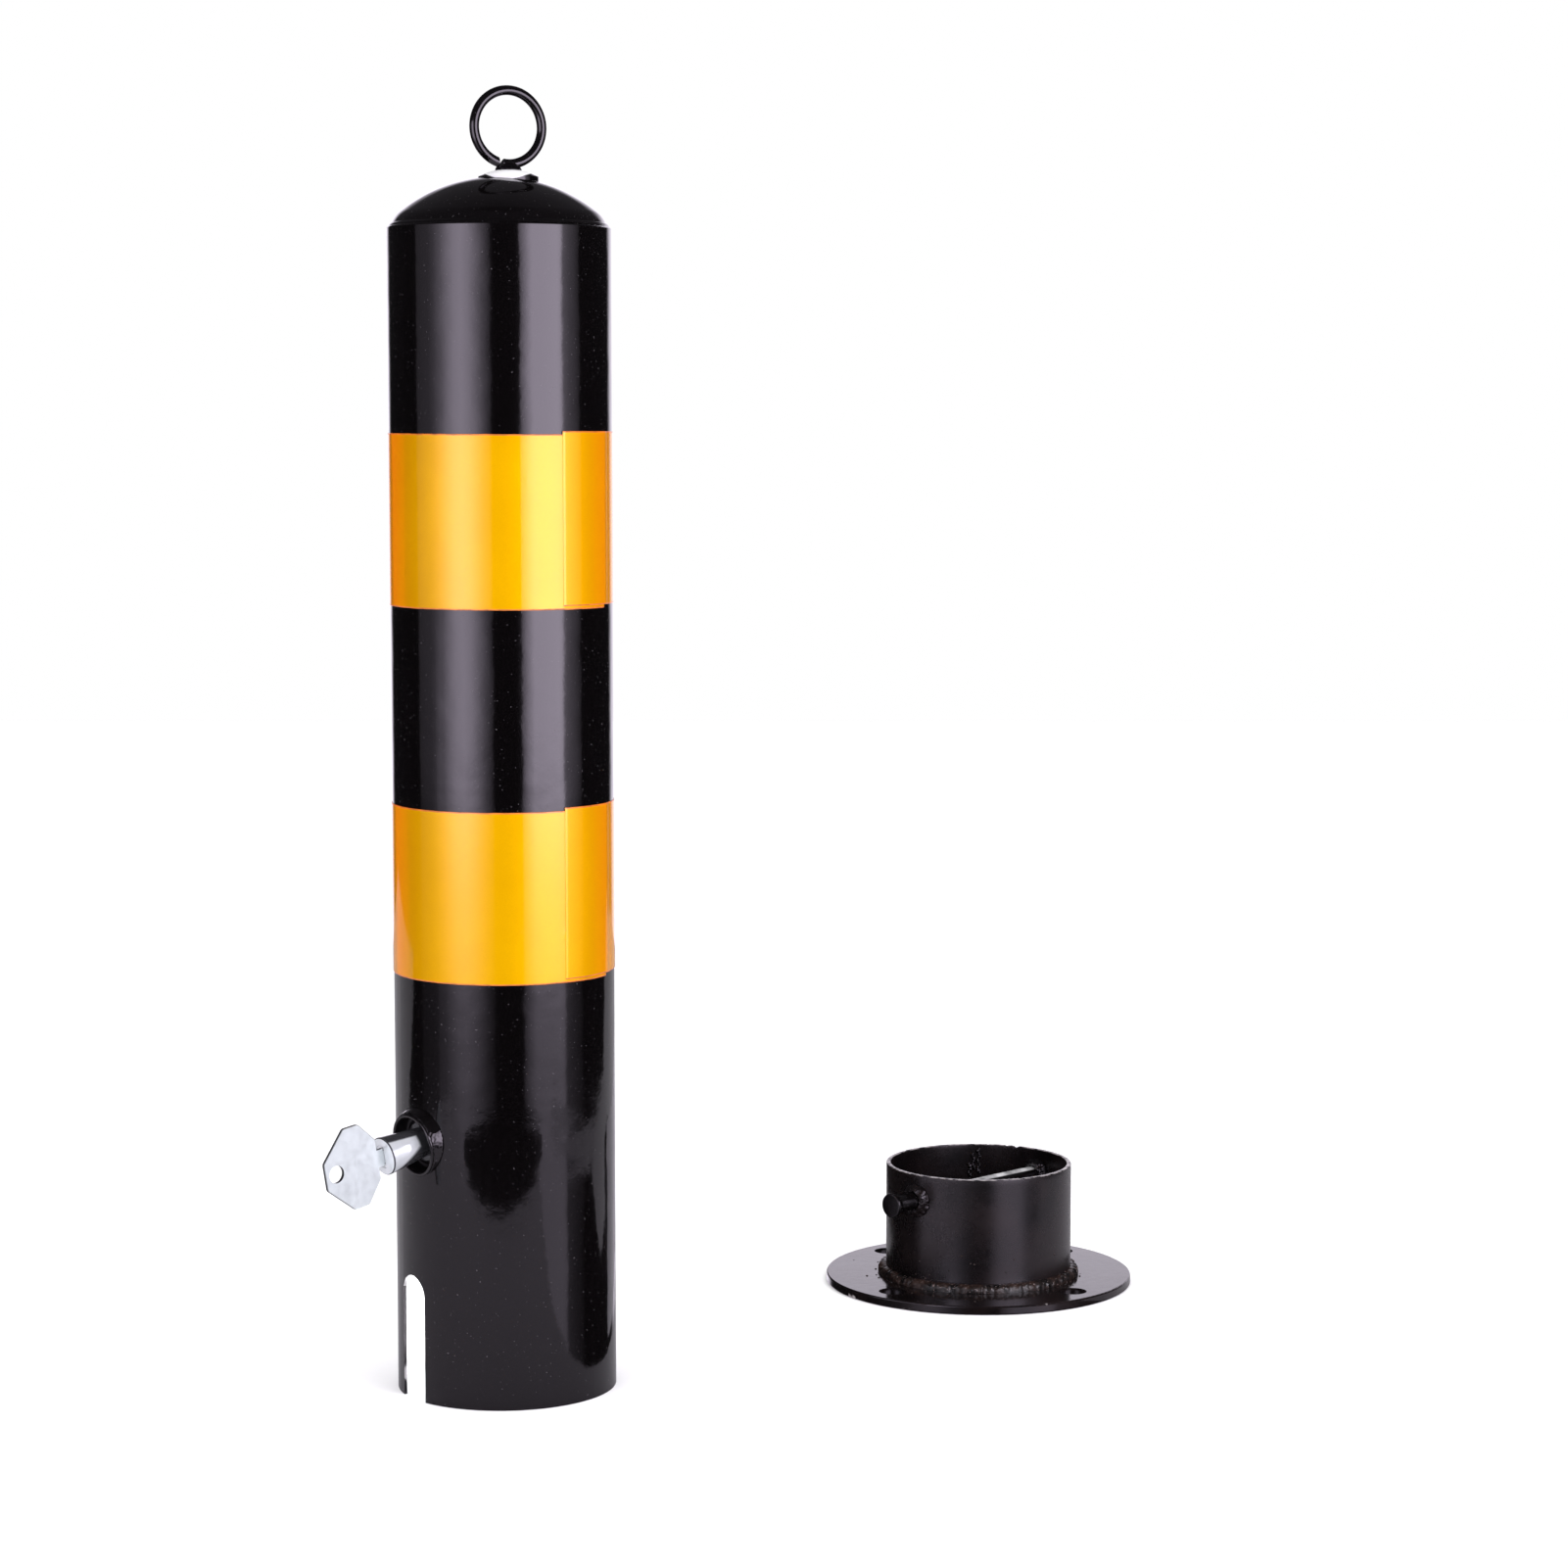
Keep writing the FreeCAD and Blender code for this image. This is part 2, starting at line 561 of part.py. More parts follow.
def barrel_circlip():
    """Open spring clip in the groove of the barrel, on the floor of the collar's recess."""
    inner = BARREL_DIAMETER / 2 - CLIP_DEPTH
    outer = inner + CLIP_WIDTH
    clip = rod_x(outer, COLLAR_FLOOR, COLLAR_FLOOR + CLIP_THICKNESS)
    clip = clip.cut(rod_x(inner, COLLAR_FLOOR, COLLAR_FLOOR + CLIP_THICKNESS))
    gap = CLIP_WIDTH
    clip = clip.cut(block((COLLAR_FLOOR, -gap, 0), (COLLAR_FLOOR + CLIP_THICKNESS, gap, outer)))
    return on_post(on_lock(clip))


def barrel_nut():
    start = COLLAR_BACK - NUT_THICKNESS
    nut = hex_x(NUT_FLATS, start, COLLAR_BACK)
    crown = Part.makeCone(NUT_FLATS / 2 - TURNED_EDGE, NUT_FLATS / 2 + NUT_THICKNESS, NUT_THICKNESS,
                          V(start, 0, 0), V(1, 0, 0))
    nut = nut.common(crown)
    return on_post(on_lock(nut.cut(rod_x(BARREL_DIAMETER / 2 + SEAT_GAP, start, COLLAR_BACK))))


def blade_depth():
    return LAST_WAFER_DEPTH + BLADE_TIP


def cut_top(index):
    """Height of the blade's top edge at a wafer; each cut is deeper than the one before it."""
    return BLADE_HEIGHT / 2 - CUT_STEP * (index + 1)


def wafer_x(index):
    return PLUG_FACE - FIRST_WAFER_DEPTH - WAFER_SPACING * index


def lock_plug():
    """Round plug with a keyway, a slot for each wafer, and a tail with two flats."""
    plug = rod_x(PLUG_RADIUS, STOP_FACE, PLUG_FACE)
    way = KEY_THICKNESS / 2 + KEY_GAP
    half = BLADE_HEIGHT / 2 + KEY_GAP
    plug = plug.cut(block((PLUG_FACE - blade_depth() - KEY_GAP, -way, -half), (PLUG_FACE, way, half)))
    side = WAFER_WIDTH / 2 + RUNNING_GAP
    thick = WAFER_THICKNESS / 2 + RUNNING_GAP
    for i in range(WAFER_COUNT):
        x = wafer_x(i)
        plug = plug.cut(block((x - thick, -side, -PLUG_RADIUS), (x + thick, side, PLUG_RADIUS)))
    tail = rod_x(TAIL_DIAMETER / 2, TAIL_BACK, STOP_FACE)
    flat = TAIL_FLATS / 2
    wide = TAIL_DIAMETER
    flats = block((TAIL_NUT_FACE, -wide, -flat), (STOP_FACE, wide, flat))
    threaded = block((TAIL_BACK, -wide, -wide), (TAIL_NUT_FACE, wide, wide))
    tail = tail.common(flats.fuse(threaded))
    return on_post(on_lock(plug.fuse(tail).removeSplitter()))


def wafer_tumblers():
    """Thin plates whose windows sit on the cuts of the key."""
    side = WAFER_WIDTH / 2
    reach = math.sqrt((PLUG_RADIUS - RUNNING_GAP) ** 2 - side ** 2)
    window = side - WAFER_RIM
    plates = []
    for i in range(WAFER_COUNT):
        x = wafer_x(i)
        back, front = x - WAFER_THICKNESS / 2, x + WAFER_THICKNESS / 2
        plate = block((back, -side, -reach), (front, side, reach))
        low = -BLADE_HEIGHT / 2 - KEY_GAP
        high = cut_top(i) + KEY_GAP
        plates.append(plate.cut(block((back, -window, low), (front, window, high))))
    return on_post(on_lock(Part.makeCompound(plates)))


def rounded(points, radius):
    """Closed outline in the XZ plane through the points, each corner rounded."""
    edges = []
    last = None
    first = None
    count = len(points)
    for i in range(count):
        here, before, after = points[i], points[i - 1], points[(i + 1) % count]
        to_before = (before - here).normalize()
        to_after = (after - here).normalize()
        half = to_before.getAngle(to_after) / 2
        setback = radius / math.tan(half)
        start = here + to_before * setback
        end = here + to_after * setback
        bisector = (to_before + to_after).normalize()
        middle = here + bisector * (radius / math.sin(half) - radius)
        if last is not None:
            edges.append(Part.LineSegment(last, start).toShape())
        else:
            first = start
        edges.append(Part.Arc(start, middle, end).toShape())
        last = end
    edges.append(Part.LineSegment(last, first).toShape())
    return edges


def key():
    """Flat steel key: an eight-sided bow, a neck and a blade cut deeper towards its tip."""
    inner = BOW_FACE
    outer = BOW_FACE + BOW_LENGTH
    shoulder = inner + BOW_SHOULDER_REACH
    hip = inner + BOW_HIP_REACH
    upper = [V(inner, 0, BOW_NECK_HEIGHT / 2), V(shoulder, 0, BOW_SHOULDER_HEIGHT / 2),
             V(hip, 0, BOW_HEIGHT / 2), V(outer, 0, BOW_END_HEIGHT / 2)]
    lower = [V(p.x, 0, -p.z) for p in upper[::-1]]
    bow = Part.Face(Part.Wire(rounded(upper + lower, BOW_ROUND)))
    bow = bow.extrude(V(0, KEY_THICKNESS, 0))
    bow.translate(V(0, -KEY_THICKNESS / 2, 0))
    bow = bow.makeChamfer(KEY_EDGE, [e for e in bow.Edges if abs(e.BoundBox.YLength) < 0.001])
    eye = outer - KEY_HOLE_EDGE - KEY_HOLE_DIAMETER / 2
    hole = Part.makeCylinder(KEY_HOLE_DIAMETER / 2, KEY_THICKNESS, V(eye, -KEY_THICKNESS / 2, 0), V(0, 1, 0))
    bow = bow.cut(hole)
    side = KEY_THICKNESS / 2
    neck_back = BARREL_FACE + KEY_GAP
    neck = block((neck_back, -side, -NECK_HEIGHT / 2), (inner + BOW_ROUND, side, NECK_HEIGHT / 2))
    return on_post(on_lock(bow.fuse(neck).fuse(key_blade()).removeSplitter()))


def key_blade():
    bottom = -BLADE_HEIGHT / 2
    top = BLADE_HEIGHT / 2
    root = BARREL_FACE + KEY_GAP + BOW_GAP / 2
    tip = PLUG_FACE - blade_depth()
    land = WAFER_SPACING / 3
    points = [V(root, 0, bottom), V(root, 0, top), V(wafer_x(0) + 2 * land, 0, top)]
    for i in range(WAFER_COUNT):
        height = cut_top(i)
        points.append(V(wafer_x(i) + land, 0, height))
        points.append(V(wafer_x(i) - land, 0, height))
    point = (bottom + cut_top(WAFER_COUNT - 1)) / 2
    points += [V(tip, 0, point + land / 2), V(tip, 0, point - land / 2), V(tip + BLADE_TIP / 2, 0, bottom)]
    blade = Part.Face(Part.Wire(chain(points))).extrude(V(0, KEY_THICKNESS, 0))
    blade.translate(V(0, -KEY_THICKNESS / 2, 0))
    return blade


def tail_hole(start, end):
    """The tail's own section, a little larger, for what is carried on its flats."""
    hole = rod_x(TAIL_DIAMETER / 2 + SEAT_GAP, start, end)
    flat = TAIL_FLATS / 2 + SEAT_GAP
    wide = TAIL_DIAMETER
    return hole.common(block((start, -wide, -flat), (end, wide, flat)))


def stop_washer():
    """Washer whose tongue runs in the pocket of the barrel and stops the plug at both ends."""
    disc = rod_x(STOP_DIAMETER / 2, ARM_FACE, STOP_FACE)
    disc = disc.cut(tail_hole(ARM_FACE, STOP_FACE))
    outer = PLUG_RADIUS + TONGUE_WALL
    front = BARREL_BACK + TONGUE_LENGTH
    tongue = stop_slice(outer, STOP_FACE, front, 90.0 - TONGUE_ANGLE / 2, TONGUE_ANGLE)
    tongue = tongue.cut(rod_x(PLUG_RADIUS + SEAT_GAP, STOP_FACE, front))
    return on_post(on_lock(disc.fuse(tongue).removeSplitter()))


def hook_arm():
    """Flat arm that hangs from the tail; its jaw lies under the cross bar when the key is upright."""
    tilt = math.radians(LOCK_TILT)
    middle = ARM_FACE - ARM_THICKNESS / 2
    pivot = LOCK_HEIGHT + (POST_RADIUS - middle) * math.sin(tilt)
    drop = (pivot - BAR_IN_POST) / math.cos(tilt)
    jaw_inner = drop + BAR_RADIUS / math.cos(tilt) + HOOK_CLEARANCE
    jaw_outer = jaw_inner + ARM_WIDTH
    near = BAR_RADIUS + ARM_OFFSET
    far = near + ARM_WIDTH
    tip = BAR_RADIUS + HOOK_OVERLAP
    boss = rod_x(ARM_BOSS / 2, WASHER_FACE, ARM_FACE)
    shank = block((WASHER_FACE, near, -jaw_outer), (ARM_FACE, far, 0))
    bridge = block((WASHER_FACE, 0, -ARM_BOSS / 2), (ARM_FACE, far, 0))
    ring = rod_x(jaw_outer, WASHER_FACE, ARM_FACE).cut(rod_x(jaw_inner, WASHER_FACE, ARM_FACE))
    jaw = ring.common(block((WASHER_FACE, -tip, -jaw_outer), (ARM_FACE, far, 0)))
    reach = rod_x(jaw_outer, WASHER_FACE, ARM_FACE)
    arm = boss.fuse(bridge).fuse(shank.common(reach)).fuse(jaw).removeSplitter()
    corners = [e for e in arm.Edges if e.BoundBox.XLength > ARM_THICKNESS - 0.01
               and e.CenterOfMass.z < -jaw_inner / 2]
    arm = arm.makeFillet(ARM_ROUND, corners)
    return on_post(on_lock(arm.cut(tail_hole(WASHER_FACE, ARM_FACE))))


def tail_washer():
    disc = rod_x(TAIL_WASHER_DIAMETER / 2, TAIL_NUT_FACE, WASHER_FACE)
    return on_post(on_lock(disc.cut(tail_hole(TAIL_NUT_FACE, WASHER_FACE))))


def tail_nut():
    start = TAIL_NUT_FACE - TAIL_NUT_THICKNESS
    nut = hex_x(TAIL_NUT_FLATS, start, TAIL_NUT_FACE)
    crown = Part.makeCone(TAIL_NUT_FLATS / 2 - TURNED_EDGE, TAIL_NUT_FLATS / 2 + TAIL_NUT_THICKNESS,
                          TAIL_NUT_THICKNESS, V(start, 0, 0), V(1, 0, 0))
    nut = nut.common(crown)
    return on_post(on_lock(nut.cut(rod_x(TAIL_DIAMETER / 2 + SEAT_GAP, start, TAIL_NUT_FACE))))


PIECES = [
    base_flange, base_sleeve, base_weld, cross_bar, stub_weld, bar_end_weld,
    post_tube, dome_cap, cap_weld, ring_seat, lifting_ring, ring_weld, lower_band, upper_band,
    lock_collar, collar_weld, lock_barrel, barrel_circlip, barrel_nut,
    lock_plug, wafer_tumblers, stop_washer, hook_arm, tail_washer, tail_nut, key,
]

os.makedirs("parts", exist_ok=True)
for piece in PIECES:
    shape = piece()
    shape.exportStep("parts/" + piece.__name__ + ".step")
    print(piece.__name__, len(shape.Solids), round(shape.Volume, 1), shape.isValid())
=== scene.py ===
import json
import math
import random

import bmesh
import bpy
from mathutils import Matrix, Vector, noise


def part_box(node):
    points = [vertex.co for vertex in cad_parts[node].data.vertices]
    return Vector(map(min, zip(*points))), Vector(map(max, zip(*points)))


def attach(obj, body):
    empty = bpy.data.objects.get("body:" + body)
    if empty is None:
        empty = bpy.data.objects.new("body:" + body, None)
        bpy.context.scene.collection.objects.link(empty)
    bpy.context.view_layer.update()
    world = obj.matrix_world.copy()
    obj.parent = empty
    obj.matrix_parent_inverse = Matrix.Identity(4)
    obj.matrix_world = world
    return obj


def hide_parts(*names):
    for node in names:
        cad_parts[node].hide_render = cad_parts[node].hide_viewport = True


# Finish and small forms of a removable bollard, in metres: a glossy black post with two
# yellow bands, a lifting ring and a key lock, beside its flanged base.
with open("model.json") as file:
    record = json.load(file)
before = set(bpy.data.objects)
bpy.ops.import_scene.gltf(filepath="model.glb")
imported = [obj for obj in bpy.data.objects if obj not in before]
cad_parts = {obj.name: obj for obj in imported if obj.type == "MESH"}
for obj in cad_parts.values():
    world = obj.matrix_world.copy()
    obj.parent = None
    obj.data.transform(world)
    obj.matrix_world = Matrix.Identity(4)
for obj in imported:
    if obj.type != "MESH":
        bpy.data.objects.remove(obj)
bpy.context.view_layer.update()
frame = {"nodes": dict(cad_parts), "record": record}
nodes = frame["nodes"]
chance = random.Random(7)


def middle(node):
    low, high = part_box(node)
    return (low + high) / 2


def size(node):
    low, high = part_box(node)
    return high - low


# Places that follow from the frame
POST_AXIS = Vector((middle("post_tube").x, middle("post_tube").y, 0))
POST_RADIUS = size("post_tube").x / 2
POST_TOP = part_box("post_tube")[1].z
SLEEVE_RADIUS = size("base_sleeve").x / 2
SLEEVE_FOOT, SLEEVE_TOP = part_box("base_sleeve")[0].z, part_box("base_sleeve")[1].z
FLANGE_RADIUS = size("base_flange").x / 2
WELD_OUTER = size("base_weld").x / 2
WELD_LEG = size("base_weld").z
SEAT_RADIUS = size("ring_seat").x / 2
SEAT_PLACE = Vector((middle("ring_seat").x, middle("ring_seat").y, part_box("ring_seat")[1].z))
BAR_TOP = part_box("cross_bar")[1].z

# Sizes that the frame's boxes don't give
SLEEVE_WALL = 0.0025
SLEEVE_EDGE = 0.0005
SKIN_GAP = 0.0001
ROD = 0.005
RING_GAP_ANGLE = math.radians(14)
RING_GAP_OUTER = 0.0004
RING_GAP_INNER = 0.0016
BAND_HEIGHT = 0.0875
BAND_FILM = 0.00035
LAP_START = 37.0
LAP_END = 69.0
LOCK_AZIMUTH = 48.0
LOCK_TILT = 10.0
LOCK_HEIGHT = 0.1345
COLLAR_RADIUS = 0.0165
COLLAR_FACE = POST_RADIUS + 0.0033
COLLAR_BACK = COLLAR_FACE - 0.0205
COLLAR_FLOOR = COLLAR_FACE - 0.008
COLLAR_RIM = 0.0018
COLLAR_BORE = 0.0101
BARREL_FACE = POST_RADIUS + 0.022

# Camera, fitted to the photograph
LENS = 84.64
SENSOR = 36.0
CAMERA_PLACE = POST_AXIS + Vector((0.145, -1.894, 0.503))
CAMERA_DROP = math.radians(5.66)


def make_camera():
    data = bpy.data.cameras.new("camera")
    data.lens = LENS
    data.sensor_width = SENSOR
    camera = bpy.data.objects.new("camera", data)
    camera.location = CAMERA_PLACE
    camera.rotation_euler = (math.radians(90) - CAMERA_DROP, 0, 0)
    bpy.context.scene.collection.objects.link(camera)
    bpy.context.scene.camera = camera
    bpy.context.scene.view_settings.view_transform = "Standard"


# Node helpers

def ramp(tree, source, stops, smooth=False):
    """Colour ramp of (position, grey or colour) stops, read from a value."""
    made = tree.nodes.new("ShaderNodeValToRGB")
    line = made.color_ramp
    line.interpolation = "EASE" if smooth else "LINEAR"
    while len(line.elements) < len(stops):
        line.elements.new(0.5)
    for element, (position, value) in zip(line.elements, stops):
        element.position = position
        element.color = (value, value, value, 1) if isinstance(value, (int, float)) else (*value, 1)
    tree.links.new(source, made.inputs["Fac"])
    return made.outputs["Color"]


def sums(tree, operation, *values):
    """Math node; each value is a number or a socket."""
    made = tree.nodes.new("ShaderNodeMath")
    made.operation = operation
    for socket, value in zip(made.inputs, values):
        if isinstance(value, (int, float)):
            socket.default_value = value
        else:
            tree.links.new(value, socket)
    return made.outputs[0]


def times(tree, first, *others):
    """Product of two or more values."""
    for other in others:
        first = sums(tree, "MULTIPLY", first, other)
    return first


def step(tree, value, low, high):
    """Rises from 0 at low to 1 at high; falls where high is the smaller."""
    made = tree.nodes.new("ShaderNodeMapRange")
    made.interpolation_type = "SMOOTHSTEP"
    tree.links.new(value, made.inputs["Value"])
    a, b = min(low, high), max(low, high)
    made.inputs["From Min"].default_value = a
    made.inputs["From Max"].default_value = b
    made.inputs["To Min"].default_value = 0.0 if low < high else 1.0
    made.inputs["To Max"].default_value = 1.0 if low < high else 0.0
    return made.outputs["Result"]


def blend(tree, share, first, second):
    """Colour between first and second; each is a colour or a socket."""
    made = tree.nodes.new("ShaderNodeMix")
    made.data_type = "RGBA"
    sockets = [s for s in made.inputs if s.type == "RGBA"]
    factor = made.inputs["Factor"]
    if isinstance(share, (int, float)):
        factor.default_value = share
    else:
        tree.links.new(share, factor)
    for socket, value in zip(sockets, (first, second)):
        if isinstance(value, tuple):
            socket.default_value = (*value, 1)
        else:
            tree.links.new(value, socket)
    return [s for s in made.outputs if s.type == "RGBA"][0]


def place(tree, scale=(1, 1, 1), origin=(0, 0, 0)):
    """Object coordinates in metres, moved so that origin is zero and then scaled."""
    source = tree.nodes.new("ShaderNodeTexCoord")
    moved = tree.nodes.new("ShaderNodeVectorMath")
    moved.operation = "SUBTRACT"
    moved.inputs[1].default_value = origin
    tree.links.new(source.outputs["Object"], moved.inputs[0])
    scaled = tree.nodes.new("ShaderNodeVectorMath")
    scaled.operation = "MULTIPLY"
    scaled.inputs[1].default_value = scale
    tree.links.new(moved.outputs[0], scaled.inputs[0])
    return scaled.outputs[0]


def split(tree, vector):
    made = tree.nodes.new("ShaderNodeSeparateXYZ")
    tree.links.new(vector, made.inputs[0])
    return made.outputs


def hypotenuse(tree, x, y):
    """Square root of x squared and y squared."""
    return sums(tree, "SQRT", sums(tree, "ADD", times(tree, x, x), times(tree, y, y)))


def from_axis(tree, vector):
    """Distance from the Z axis."""
    x, y, _ = split(tree, vector)
    return hypotenuse(tree, x, y)


def along_way(tree, vector, way):
    """How far a vector reaches in the direction of way."""
    made = tree.nodes.new("ShaderNodeVectorMath")
    made.operation = "DOT_PRODUCT"
    made.inputs[1].default_value = way
    tree.links.new(vector, made.inputs[0])
    return made.outputs["Value"]


def grain(tree, vector, scale, detail=2.0, roughness=0.5):
    """Noise of a given number of grains in a metre."""
    made = tree.nodes.new("ShaderNodeTexNoise")
    made.inputs["Scale"].default_value = scale
    made.inputs["Detail"].default_value = detail
    made.inputs["Roughness"].default_value = roughness
    tree.links.new(vector, made.inputs["Vector"])
    return made.outputs["Fac"]


def relief(tree, height, strength, distance, below=None):
    made = tree.nodes.new("ShaderNodeBump")
    made.inputs["Strength"].default_value = strength
    made.inputs["Distance"].default_value = distance
    tree.links.new(height, made.inputs["Height"])
    if below is not None:
        tree.links.new(below, made.inputs["Normal"])
    return made.outputs["Normal"]


def material(name):
    made = bpy.data.materials.new(name)
    made.use_nodes = True
    tree = made.node_tree
    shader = tree.nodes["Principled BSDF"]
    return made, tree, shader


def set_plain(shader, **values):
    for name, value in values.items():
        shader.inputs[name.replace("_", " ")].default_value = value


# Materials

PAINT_BLACK = (0.0014, 0.0011, 0.0012)
PAINT_TINT = (0.98, 0.92, 1.0, 1)
PAINT_IOR = 1.5
DUST = (0.16, 0.15, 0.16)
# Pale steel colour, for bare steel and for painted highlights
BARE_STEEL_AND_HIGHLIGHT = (0.80, 0.80, 0.81)
THIN_BLACK, THIN_BROWN = (0.0022, 0.0018, 0.0019), (0.0085, 0.0055, 0.0054)
WORN_STEEL = (0.50, 0.46, 0.46)
FILM_DEEP, FILM_LIGHT, FILM_BEADS = (0.72, 0.440, 0.0006), (0.76, 0.475, 0.0008), (0.61, 0.36, 0.0005)
FILM_TINT = (1.0, 0.86, 0.5, 1)
ADHESIVE_CLEAN, ADHESIVE_DIRTY = (0.62, 0.16, 0.004), (0.40, 0.10, 0.006)
WELD_BLACK, WELD_RUST, WELD_GLINT = (0.0035, 0.0030, 0.0030), (0.020, 0.0100, 0.0072), (0.20, 0.15, 0.14)
# Dark grey of the painted shade on the barrel and on the key's sides
PAINTED_SHADE_GREY = (0.05, 0.05, 0.055)


def enamel(name, origin, shine, bare_and_highlight=None, unrest=1.0):
    """Glossy black enamel: faint orange peel, drawn-out streaks and a few specks of dust.
    bare_and_highlight, where given, makes a mask of places in pale steel colour: bare steel low on the
    inner wall of the post, and painted highlights on the seat and the cross bar; unrest scales the
    unevenness of the skin."""
    made, tree, shader = material(name)
    here = place(tree, origin=origin)
    peel = grain(tree, here, 420.0, 2.0)
    waves = grain(tree, here, 60.0, 1.0)
    streaks = grain(tree, place(tree, (260, 260, 3.0), origin), 1.0, 3.0)
    specks = ramp(tree, grain(tree, here, 900.0, 1.0), [(0.74, 0.0), (0.77, 1.0)])
    colour = blend(tree, times(tree, specks, 0.3), PAINT_BLACK, DUST)
    rough = sums(tree, "MULTIPLY_ADD", streaks, shine, shine * 0.4)
    rough = sums(tree, "MULTIPLY_ADD", specks, 0.3, rough)
    if bare_and_highlight:
        mask = bare_and_highlight(tree, here)
        # Pale steel colour where the mask is: bare steel, and painted highlights
        colour = blend(tree, mask, colour, BARE_STEEL_AND_HIGHLIGHT)
        rough = sums(tree, "MULTIPLY_ADD", mask, 0.3, rough)
    tree.links.new(colour, shader.inputs["Base Color"])
    tree.links.new(rough, shader.inputs["Roughness"])
    normal = relief(tree, waves, 0.10 * unrest, 0.002)
    normal = relief(tree, peel, 0.05 * unrest, 0.0004, normal)
    tree.links.new(normal, shader.inputs["Normal"])
    set_plain(shader, IOR=PAINT_IOR, Specular_Tint=PAINT_TINT)
    return made


def inside_foot(tree, here):
    """The unpainted inner wall, low in the post."""
    inner = step(tree, from_axis(tree, here), POST_RADIUS - 0.0014, POST_RADIUS - 0.0018)
    low = step(tree, split(tree, here)[2], 0.12, 0.09)
    return times(tree, inner, low)


# Lower limit of the painted highlight on the button: its depth below the top, and its rise at the sides
SMILE_DEPTH = 0.0061
SMILE_LIFT = 0.0058


def painted_seat_highlight(tree, here):
    """Painted highlight in pale steel colour on the front of the button, below the ring."""
    x, y, z = split(tree, here)
    off = sums(tree, "DIVIDE", x, SEAT_RADIUS)
    edge = sums(tree, "MULTIPLY_ADD", times(tree, off, off), SMILE_LIFT, -SMILE_DEPTH)
    upper = step(tree, sums(tree, "SUBTRACT", z, edge), 0.0, 0.0005)
    below_crest = step(tree, z, -0.0004, -0.0008)
    front = step(tree, y, 0.0, -0.003)
    return times(tree, upper, front, below_crest)


def worn_edges(tree, here):
    """Bright rim of the sleeve, and chips along the edge of the flange."""
    _, _, z = split(tree, here)
    patches = grain(tree, here, 260.0, 3.0)
    rim = step(tree, z, SLEEVE_TOP - 0.0005, SLEEVE_TOP - 0.0001)
    rim = times(tree, rim, ramp(tree, patches, [(0.40, 0.0), (0.60, 0.5)]))
    edge = step(tree, from_axis(tree, here), FLANGE_RADIUS - 0.0012, FLANGE_RADIUS - 0.0004)
    chips = ramp(tree, grain(tree, here, 70.0, 2.0), [(0.63, 0.0), (0.66, 0.8)])
    return sums(tree, "ADD", rim, times(tree, edge, chips))


def painted_bar_highlight(tree, here):
    """Painted highlight in streaks along the top of the cross bar, inside the sleeve."""
    _, _, z = split(tree, here)
    top = step(tree, z, BAR_TOP - 0.0031, BAR_TOP - 0.0026)
    inside = step(tree, from_axis(tree, here), 0.048, 0.044)
    patches = ramp(tree, grain(tree, here, 120.0, 2.0), [(0.30, 0.15), (0.70, 0.60)])
    return times(tree, top, inside, patches)


def blotched(name, shine):
    """The base's thinner black paint, satin, with brown and dark blotches."""
    made, tree, shader = material(name)
    here = place(tree)
    clouds = grain(tree, here, 34.0, 4.0, 0.55)
    fine = grain(tree, here, 300.0, 3.0)
    brown = ramp(tree, clouds, [(0.30, 0.0), (0.75, 1.0)], True)
    colour = blend(tree, brown, THIN_BLACK, THIN_BROWN)
    colour = blend(tree, worn_edges(tree, here), colour, WORN_STEEL)
    tree.links.new(colour, shader.inputs["Base Color"])
    rough = ramp(tree, clouds, [(0.30, shine), (0.70, shine * 1.25)], True)
    rough = sums(tree, "MULTIPLY_ADD", fine, 0.10, rough)
    tree.links.new(rough, shader.inputs["Roughness"])
    normal = relief(tree, clouds, 0.03, 0.002)
    normal = relief(tree, fine, 0.06, 0.0003, normal)
    tree.links.new(normal, shader.inputs["Normal"])
    set_plain(shader, IOR=PAINT_IOR, Specular_Tint=PAINT_TINT)
    return made


def yellow_film(name):
    """Amber reflective film: a clear glossy face over a bright ground of fine beads."""
    made, tree, shader = material(name)
    here = place(tree, origin=POST_AXIS)
    cloud = grain(tree, here, 30.0, 3.0)
    beads = grain(tree, here, 1500.0, 1.0)
    colour = blend(tree, ramp(tree, cloud, [(0.3, 0.0), (0.7, 1.0)]), FILM_DEEP, FILM_LIGHT)
    colour = blend(tree, ramp(tree, beads, [(0.3, 0.25), (0.7, 0.0)]), colour, FILM_BEADS)
    tree.links.new(colour, shader.inputs["Base Color"])
    waves = grain(tree, here, 45.0, 2.0)
    tree.links.new(relief(tree, waves, 0.10, 0.002), shader.inputs["Normal"])
    set_plain(shader, Roughness=0.57, Metallic=0.7, Specular_IOR_Level=0.0)
    set_plain(shader, Coat_Weight=1.0, Coat_Roughness=0.05, Coat_IOR=1.42, Coat_Tint=FILM_TINT)
    return made


def film_edge(name):
    """Cut edge of the film, where the orange adhesive shows."""
    made, tree, shader = material(name)
    here = place(tree, origin=POST_AXIS)
    dirt = grain(tree, here, 220.0, 3.0)
    colour = blend(tree, ramp(tree, dirt, [(0.35, 0.0), (0.65, 1.0)]), ADHESIVE_CLEAN, ADHESIVE_DIRTY)
    tree.links.new(colour, shader.inputs["Base Color"])
    tree.links.new(relief(tree, dirt, 0.2, 0.0004), shader.inputs["Normal"])
    set_plain(shader, Roughness=0.45, Coat_Weight=0.6, Coat_Roughness=0.1)
    return made


